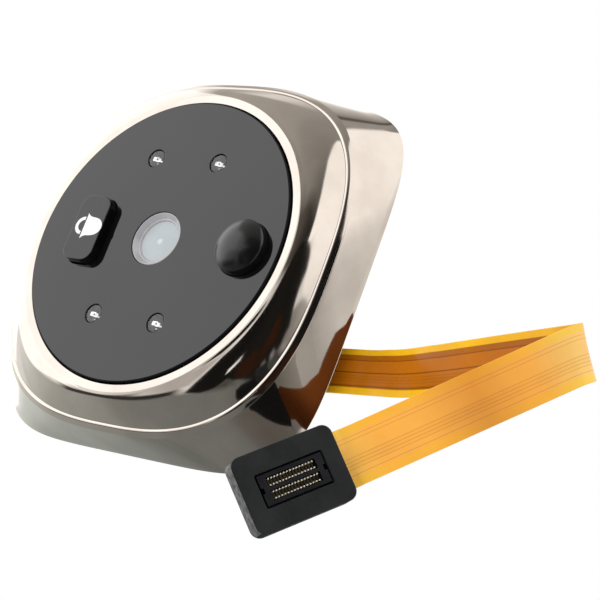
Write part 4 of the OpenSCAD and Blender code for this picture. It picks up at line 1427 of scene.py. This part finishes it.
# Carried-over solids in sight, and the width of their broken edges
BEVELLED = {
    "back_cover": 0.15 * MM, "cover_screws": 0.1 * MM, "ribbon_grommet": 0.12 * MM,
    "plug_connector": 0.06 * MM,
}
BEVEL_ANGLE = 40.0
BEVEL_ROWS = 2


class DOORCAM_OT_carried(bpy.types.Operator):
    """Give each carried-over solid its own finish"""

    bl_idname = "doorcam.carried"
    bl_label = "Carried-over solids"

    def execute(self, context):
        slots = {row["node"]: row["material_slot"] for row in frame["record"]["subparts"]}
        for name, node in frame["nodes"].items():
            if node.hide_render:
                continue
            node.data.materials.clear()
            node.data.materials.append(slot_finish(slots[name]))
            if name in BEVELLED:
                bevel = node.modifiers.new("broken_edges", "BEVEL")
                bevel.width = BEVELLED[name]
                bevel.segments = BEVEL_ROWS
                bevel.limit_method = "ANGLE"
                bevel.angle_limit = math.radians(BEVEL_ANGLE)
        return {"FINISHED"}


# Cards that the plating mirrors: name, how far beyond the set distance, tint, width of the soft border,
# and rows from the lowest up, each a rise, the turns where it starts and ends, and a level. All turns,
# rises and borders are in degrees
CARDS = (
    ("low_white_card", -0.03, (0.99, 1, 1), 5.0, (
        (-88, -186, 58, 1.7), (-70, -186, 48, 1.7), (-62, -186, 38, 1.65), (-54, -186, 32, 1.6),
        (-48, -186, 26, 1.55), (-44, -186, -60, 1.5))),
    ("ledge_flag", -0.01, (1, 0.95, 0.9), 1.5, (
        (59, -147, -112, 0.012), (66, -147, -96, 0.012), (74, -146, -88, 0.012), (78, -144, -60, 0.012),
        (82, -140, -30, 0.012))),
    ("slit", -0.02, (1, 1, 1), 0.8, (
        (10.5, 24.5, 27.5, 1.1), (13, 22, 25, 1.1), (16, 19.5, 22, 1.1))),
    ("brown_glow", -0.01, (1, 0.42, 0.22), 4.0, (
        (20, 25, 31, 0.03), (28, 22, 33, 0.035), (36, 24, 30, 0.03), (46, 7, 20, 0.035),
        (53, 5, 16, 0.03))),
    ("grey_card_foot", 0.004, (1, 0.97, 0.93), 5.0, (
        (58, 16, 24, 0.14), (66, 2, 18, 0.25), (72, -20, 14, 0.33), (78, -56, 8, 0.46))),
    ("grey_card_mid", 0.012, (1, 0.97, 0.95), 4.0, (
        (-36, 14, 26, 0.95), (-30, 12, 25, 0.85), (-22, 10, 24, 0.6), (-12, 6, 24, 0.56))),
    ("dark_flag", 0.0, (1, 0.95, 0.9), 1.5, (
        (-7.5, 9, 35, 0.01), (0, 2, 38, 0.01), (7, -3, 36, 0.01), (13, -9, 31, 0.01), (17, -13, 33, 0.01),
        (18, -13, 34, 0.012), (23, -17, 35, 0.012), (30, -22, 37, 0.014), (36, -27, 38, 0.014),
        (48, -35, 32, 0.012), (60, -42, 20, 0.012), (67, -45, 6, 0.012))),
    ("shade_card", 0.01, (1, 0.9, 0.8), 9.0, (
        (2, -28, -14, 0.11), (12, -34, -14, 0.09), (22, -37, -18, 0.06), (32, -37, -24, 0.04),
        (40, -37, -30, 0.03))),
    ("dark_flag_low", 0.01, (1, 0.97, 0.92), 5.0, (
        (-54, 41, 52, 0.06), (-45, 37.5, 48, 0.05), (-30, 31.5, 42, 0.04), (-15, 29, 34, 0.03))),
    ("black_wedge", 0.002, (1, 0.95, 0.9), 1.2, (
        (23, 43, 50, 0.01), (26, 40.5, 51, 0.01), (30, 39.5, 50, 0.01), (36, 38, 50, 0.01),
        (44, 36, 50, 0.01))),
    ("shade_card_right", 0.002, (1, 0.95, 0.88), 5.0, (
        (3, 30, 36, 0.08), (14, 30, 37, 0.08), (18, 32, 36, 0.1))),
    ("grey_card_corner", 0.003, (1, 0.96, 0.88), 6.0, (
        (24, 68, 84, 0.15), (34, 60, 84, 0.13), (48, 56, 86, 0.13), (56, 56, 92, 0.14), (64, 56, 100, 0.16),
        (72, 58, 104, 0.22), (79, 52, 112, 0.28))),
    ("edge_white_card", 0.004, (1, 1, 0.99), 15.0, (
        (-68, 170, 200, 1.0), (-58, 170, 200, 1.0), (-52, 172, 200, 0.95))),
    ("grey_card_top", 0.005, (1, 0.97, 0.92), 2.0, (
        (67, 58, 190, 0.45), (74, 52, 200, 0.45), (82, 30, 220, 0.45), (89, 0, 340, 0.45))),
    ("dark_line", 0.012, (1, 0.93, 0.86), 1.3, (
        (-8.6, -107, -96, 0.13), (-6.2, -105, -95, 0.13))),
    ("grey_card_lift", 0.015, (1, 0.97, 0.93), 6.0, (
        (-31, -128, -100, 0.9), (-26, -124, -98, 0.88), (-22, -119, -98, 0.72), (-18, -114, -98, 0.6),
        (-14, -110, -98, 0.48), (-10.5, -107, -96, 0.34), (-4, -102, -95, 0.4), (-1, -100, -94, 0.42))),
    ("grey_card_left", 0.02, (1, 0.965, 0.915), 3.0, (
        (-42, -137, -92, 0.5), (-36, -137, -60, 0.5), (-30, -125, -50, 0.48), (-22, -117, -42, 0.45),
        (-14, -111, -36, 0.41), (-8, -106, -31, 0.36), (0, -98, -26, 0.335), (3, -93, -23, 0.33),
        (7, -82, -19, 0.315), (11, -71, -17, 0.29), (17, -60, -15, 0.23), (24, -52, -20, 0.17),
        (32, -46, -26, 0.13), (40, -41, -32, 0.1), (46, -37, -34, 0.08))),
    ("grey_card_right", 0.02, (0.96, 1, 0.97), 9.0, (
        (-76, 54, 124, 0.8), (-62, 54, 118, 0.54), (-55, 52, 118, 0.44), (-45, 48, 118, 0.38),
        (-35, 44, 116, 0.29), (-22, 40, 106, 0.24), (-10, 38, 98, 0.23), (2, 38, 90, 0.22),
        (14, 36, 84, 0.2), (22, 36, 78, 0.17), (30, 38, 72, 0.14), (36, 42, 66, 0.1), (45, 36, 60, 0.08),
        (58, 24, 56, 0.06))),
    ("grey_card_far", 0.03, (0.92, 1, 0.97), 6.0, (
        (-70, 118, 186, 0.95), (-60, 124, 182, 0.72), (-52, 126, 178, 0.52), (-46, 122, 174, 0.44),
        (-42, 115, 174, 0.38), (-38, 112, 174, 0.28), (-30, 105, 174, 0.21), (-10, 95, 174, 0.205),
        (5, 84, 174, 0.19), (20, 76, 174, 0.165), (36, 70, 174, 0.12))),
    ("soft_white_card", 0.04, (1, 0.98, 0.95), 22.0, (
        (20, -186, -150, 0.95), (46, -186, -150, 0.85), (53, -186, -151, 0.76), (58, -186, -151, 0.62),
        (66, -186, -151, 0.5), (76, -186, -150, 0.42))),
    ("white_card", 0.05, (1, 0.98, 0.97), 3.0, (
        (-46, -176, -34, 1.3), (0, -176, -36, 1.3), (76, -176, -38, 1.3))),
)
# Flat cards close to the right wall, which mirrors the ribbon and the plug there: name, tint, and rows in
# millimetres, each a place across, and a place and a level at both ends
NEAR_HEIGHT = 40 * MM
BLACK_LEVEL = 0.008
BLACK_EDGES = (
    (24.6, -11.6, -10.2), (25.1, -11.8, -9.4), (26.1, -12.2, -7.5), (27.1, -12.5, -5.1),
    (28.2, -13, -4.5), (31, -13.9, -6.7), (34.5, -14.9, -9.4), (37.4, -15.8, -11.6),
    (40.1, -16.7, -13.8), (43.4, -17.2, -16.2),
)
NEAR_CARDS = (
    ("brown_near_card", (1, 0.29, 0.06), (
        (0.2, 6.5, 0.13, 12, 0.12), (2, 4.6, 0.13, 12, 0.12), (3.5, 3.7, 0.14, 12, 0.12),
        (5.3, 2.4, 0.15, 12, 0.13), (8.4, 1.5, 0.16, 12, 0.14), (10.8, 0.8, 0.16, 12, 0.13),
        (13.7, 0.1, 0.17, 12, 0.1), (16.2, -1.7, 0.18, 12, 0.08), (18, -2.7, 0.18, 12, 0.06),
        (19.4, -3.9, 0.15, 12, 0.04), (21.2, -5.9, 0.1, 10, 0.04), (22.6, -7.4, 0.07, 6, 0.04),
        (23.9, -8.9, 0.055, 2.9, 0.04), (25.1, -9.4, 0.045, -2.2, 0.05), (26.1, -7.5, 0.045, -4.1, 0.05),
        (27.1, -5.1, 0.045, -4.9, 0.05))),
    ("black_near_card", (1, 0.95, 0.9), [
        (x, near, BLACK_LEVEL, far, BLACK_LEVEL) for x, near, far in BLACK_EDGES]),
)
CARD_STEP = 4.0
CARD_COLUMNS = 12
KEY_DIRECTION = (-0.26, -0.73, -0.63)
KEY_SIZE = 0.5
KEY_TINT = (1.0, 0.997, 1.012)
KEY_DISTANCE = 0.62
KEY_BACK_GAP = 0.005
FLOOR_STEPS = 96
FLOOR_TONE = (0.85, 0.85, 0.85, 1)
WHITE = (1, 1, 1, 1)


def toward(turn, rise):
    """Direction from the part: 0 turns out of the face, 90 to the right, and the rise is upward."""
    a, e = math.radians(turn), math.radians(rise)
    return Vector((math.sin(a) * math.cos(e), -math.cos(a) * math.cos(e), math.sin(e)))


class DOORCAM_OT_stage(bpy.types.Operator):
    """Set up the floor, the cards and the light"""

    bl_idname = "doorcam.stage"
    bl_label = "Stage and light"

    def execute(self, context):
        size = context.scene.doorcam.stage
        self.make_floor(context, size)
        for name, behind, tint, border, rows in CARDS:
            self.make_card(context, name, size.card_radius + behind, tint, border, rows)
        for name, tint, rows in NEAR_CARDS:
            self.make_near_card(context, name, tint, rows)
        self.make_key(context, size)
        self.make_world(context, size)
        return {"FINISHED"}

    def make_key(self, context, size):
        """The soft key light, with a dark back, so that only its own light is mirrored there."""
        key = bpy.data.lights.new("key_light", "AREA")
        key.shape = "SQUARE"
        key.size = KEY_SIZE
        key.color = KEY_TINT
        key.energy = size.key_level * math.pi * KEY_SIZE ** 2
        away = Vector(KEY_DIRECTION).normalized()
        turn = (-away).to_track_quat("-Z", "Y")
        lamp = bpy.data.objects.new("key_light", key)
        lamp.location = away * KEY_DISTANCE
        lamp.rotation_mode = "QUATERNION"
        lamp.rotation_quaternion = turn
        lamp.visible_camera = False
        context.scene.collection.objects.link(lamp)
        half = KEY_SIZE / 2
        centre = away * (KEY_DISTANCE + KEY_BACK_GAP)
        corners = [(-half, -half), (half, -half), (half, half), (-half, half)]
        bm = bmesh.new()
        bm.faces.new([bm.verts.new(centre + turn @ Vector((x, y, 0.0))) for x, y in corners])
        self.place_card(context, "key_back", bm)

    def place_card(self, context, name, bm):
        """A card that only metal and glass see."""
        mesh = bpy.data.meshes.new(name)
        bm.to_mesh(mesh)
        bm.free()
        mesh.materials.append(self.card_glow())
        card = bpy.data.objects.new(name, mesh)
        card.visible_camera = False
        card.visible_diffuse = False
        card.visible_shadow = False
        context.scene.collection.objects.link(card)

    def card_glow(self):
        """Glow and soft border of the cards, from values kept in their points."""
        if "card_glow" in bpy.data.materials:
            return bpy.data.materials["card_glow"]
        material = bpy.data.materials.new("card_glow")
        material.use_nodes = True
        tree = material.node_tree
        glow = add_node(tree, "ShaderNodeAttribute", attribute_name="glow")
        bare = add_node(tree, "ShaderNodeAttribute", attribute_name="bare")
        light = add_node(tree, "ShaderNodeEmission")
        clear = add_node(tree, "ShaderNodeBsdfTransparent")
        mix = add_node(tree, "ShaderNodeMixShader")
        join(
            tree,
            (glow, "Color", light, "Color"), (bare, "Fac", mix, "Fac"),
            (light, "Emission", mix, 1), (clear, "BSDF", mix, 2),
            (mix, "Shader", tree.nodes["Material Output"], "Surface"))
        return material

    def make_floor(self, context, size):
        """A round pale floor that is plain white emission to the camera, metal and glass, and a diffuse
        surface to all other light.
        """
        level = CAD_BOX[0][2] - size.floor_drop
        line = circle_line((0.0, 0.0), size.floor_radius, FLOOR_STEPS)
        bm = bmesh.new()
        bm.faces.new([bm.verts.new((x, y, level)) for x, y in line])
        mesh = bpy.data.meshes.new("floor")
        bm.to_mesh(mesh)
        bm.free()
        material, shader = start_material("pale_floor", {"Base Color": FLOOR_TONE, "Roughness": 0.8})
        tree = material.node_tree
        white = add_node(tree, "ShaderNodeEmission", {"Color": WHITE, "Strength": 1.0})
        mix = add_node(tree, "ShaderNodeMixShader")
        join(
            tree,
            (self.seen_by(tree), "Value", mix, "Fac"), (shader, "BSDF", mix, 1),
            (white, "Emission", mix, 2), (mix, "Shader", tree.nodes["Material Output"], "Surface"))
        mesh.materials.append(material)
        floor = bpy.data.objects.new("floor", mesh)
        context.scene.collection.objects.link(floor)

    def seen_by(self, tree):
        """A node that gives 1 for what the camera, metal and glass see."""
        path = add_node(tree, "ShaderNodeLightPath")
        first = add_node(tree, "ShaderNodeMath", operation="MAXIMUM")
        both = add_node(tree, "ShaderNodeMath", operation="MAXIMUM")
        join(
            tree,
            (path, "Is Camera Ray", first, 0), (path, "Is Glossy Ray", first, 1),
            (first, "Value", both, 0), (path, "Is Transmission Ray", both, 1))
        return both

    def make_card(self, context, name, radius, tint, border, rows):
        """A curved card with a soft border, from rows of a rise, two turns and a level."""
        cuts = [rows[0]]
        for low, high in zip(rows, rows[1:]):
            parts = max(1, round((high[0] - low[0]) / CARD_STEP))
            for k in range(1, parts + 1):
                cuts.append(tuple(a + (b - a) * k / parts for a, b in zip(low, high)))
        first, last = cuts[0], cuts[-1]
        below = (first[0] - border, *first[1:])
        above = (last[0] + border, *last[1:])
        bm = bmesh.new()
        glow = bm.verts.layers.float_color.new("glow")
        bare = bm.verts.layers.float.new("bare")
        made = []
        for rise, start, end, level in [below] + cuts + [above]:
            outside = rise < first[0] or rise > last[0]
            spots = [start + (end - start) * k / CARD_COLUMNS for k in range(CARD_COLUMNS + 1)]
            line = []
            for turn in [start - border] + spots + [end + border]:
                vert = bm.verts.new(radius * toward(turn, rise))
                vert[glow] = (*(level * c for c in tint), 1.0)
                vert[bare] = 1.0 if outside or turn < start or turn > end else 0.0
                line.append(vert)
            made.append(line)
        for low, high in zip(made, made[1:]):
            add_band(bm, low, high, closed=False)
        self.place_card(context, name, bm)

    def make_near_card(self, context, name, tint, rows):
        """A flat card above the right wall, from rows across it."""
        bm = bmesh.new()
        glow = bm.verts.layers.float_color.new("glow")
        made = []
        for x, near, near_level, far, far_level in rows:
            line = []
            for y, level in ((near, near_level), (far, far_level)):
                vert = bm.verts.new((x * MM, y * MM, NEAR_HEIGHT))
                vert[glow] = (*(level * c for c in tint), 1.0)
                line.append(vert)
            made.append(line)
        for low, high in zip(made, made[1:]):
            add_band(bm, low, high, closed=False)
        self.place_card(context, name, bm)

    def make_world(self, context, size):
        """White to the camera, metal and glass, and an even light on all the rest."""
        world = bpy.data.worlds.new("studio")
        world.use_nodes = True
        context.scene.world = world
        tree = world.node_tree
        even = tree.nodes["Background"]
        even.inputs["Color"].default_value = WHITE
        even.inputs["Strength"].default_value = size.fill_level
        white = add_node(tree, "ShaderNodeBackground", {"Color": WHITE, "Strength": 1.0})
        mix = add_node(tree, "ShaderNodeMixShader")
        join(
            tree,
            (self.seen_by(tree), "Value", mix, "Fac"), (even, "Background", mix, 1),
            (white, "Background", mix, 2), (mix, "Shader", tree.nodes["World Output"], "Surface"))


OPERATORS = (
    DOORCAM_OT_camera, DOORCAM_OT_ribbon, DOORCAM_OT_shell, DOORCAM_OT_face, DOORCAM_OT_button,
    DOORCAM_OT_dome, DOORCAM_OT_window, DOORCAM_OT_lamps, DOORCAM_OT_back, DOORCAM_OT_carried,
    DOORCAM_OT_stage,
)


class DOORCAM_PT_panel(bpy.types.Panel):
    """Lists the pieces of the door camera"""

    bl_label = "Door camera"
    bl_idname = "DOORCAM_PT_panel"
    bl_space_type = "VIEW_3D"
    bl_region_type = "UI"
    bl_category = "Door camera"

    def draw(self, context):
        for operator in OPERATORS:
            self.layout.operator(operator.bl_idname)
        for name in ("shell", "face", "button", "ribbon", "stage"):
            box = self.layout.box()
            group = getattr(context.scene.doorcam, name)
            box.label(text=name.capitalize())
            for key in group.__annotations__:
                box.prop(group, key)


CLASSES = (
    DOORCAM_PG_shell, DOORCAM_PG_face, DOORCAM_PG_button, DOORCAM_PG_ribbon, DOORCAM_PG_stage,
    DOORCAM_PG_settings,
) + OPERATORS + (DOORCAM_PT_panel,)


def register():
    """Register the classes and the scene's settings."""
    for cls in CLASSES:
        bpy.utils.register_class(cls)
    bpy.types.Scene.doorcam = PointerProperty(type=DOORCAM_PG_settings)


def unregister():
    """Take the settings and the classes away again."""
    del bpy.types.Scene.doorcam
    for cls in reversed(CLASSES):
        bpy.utils.unregister_class(cls)


def main():
    """Build every piece in order."""
    register()
    bpy.ops.doorcam.camera()
    bpy.ops.doorcam.ribbon()
    bpy.ops.doorcam.shell()
    bpy.ops.doorcam.face()
    bpy.ops.doorcam.button()
    bpy.ops.doorcam.dome()
    bpy.ops.doorcam.window()
    bpy.ops.doorcam.lamps()
    bpy.ops.doorcam.back()
    bpy.ops.doorcam.carried()
    bpy.ops.doorcam.stage()


if __name__ == "__main__":
    main()
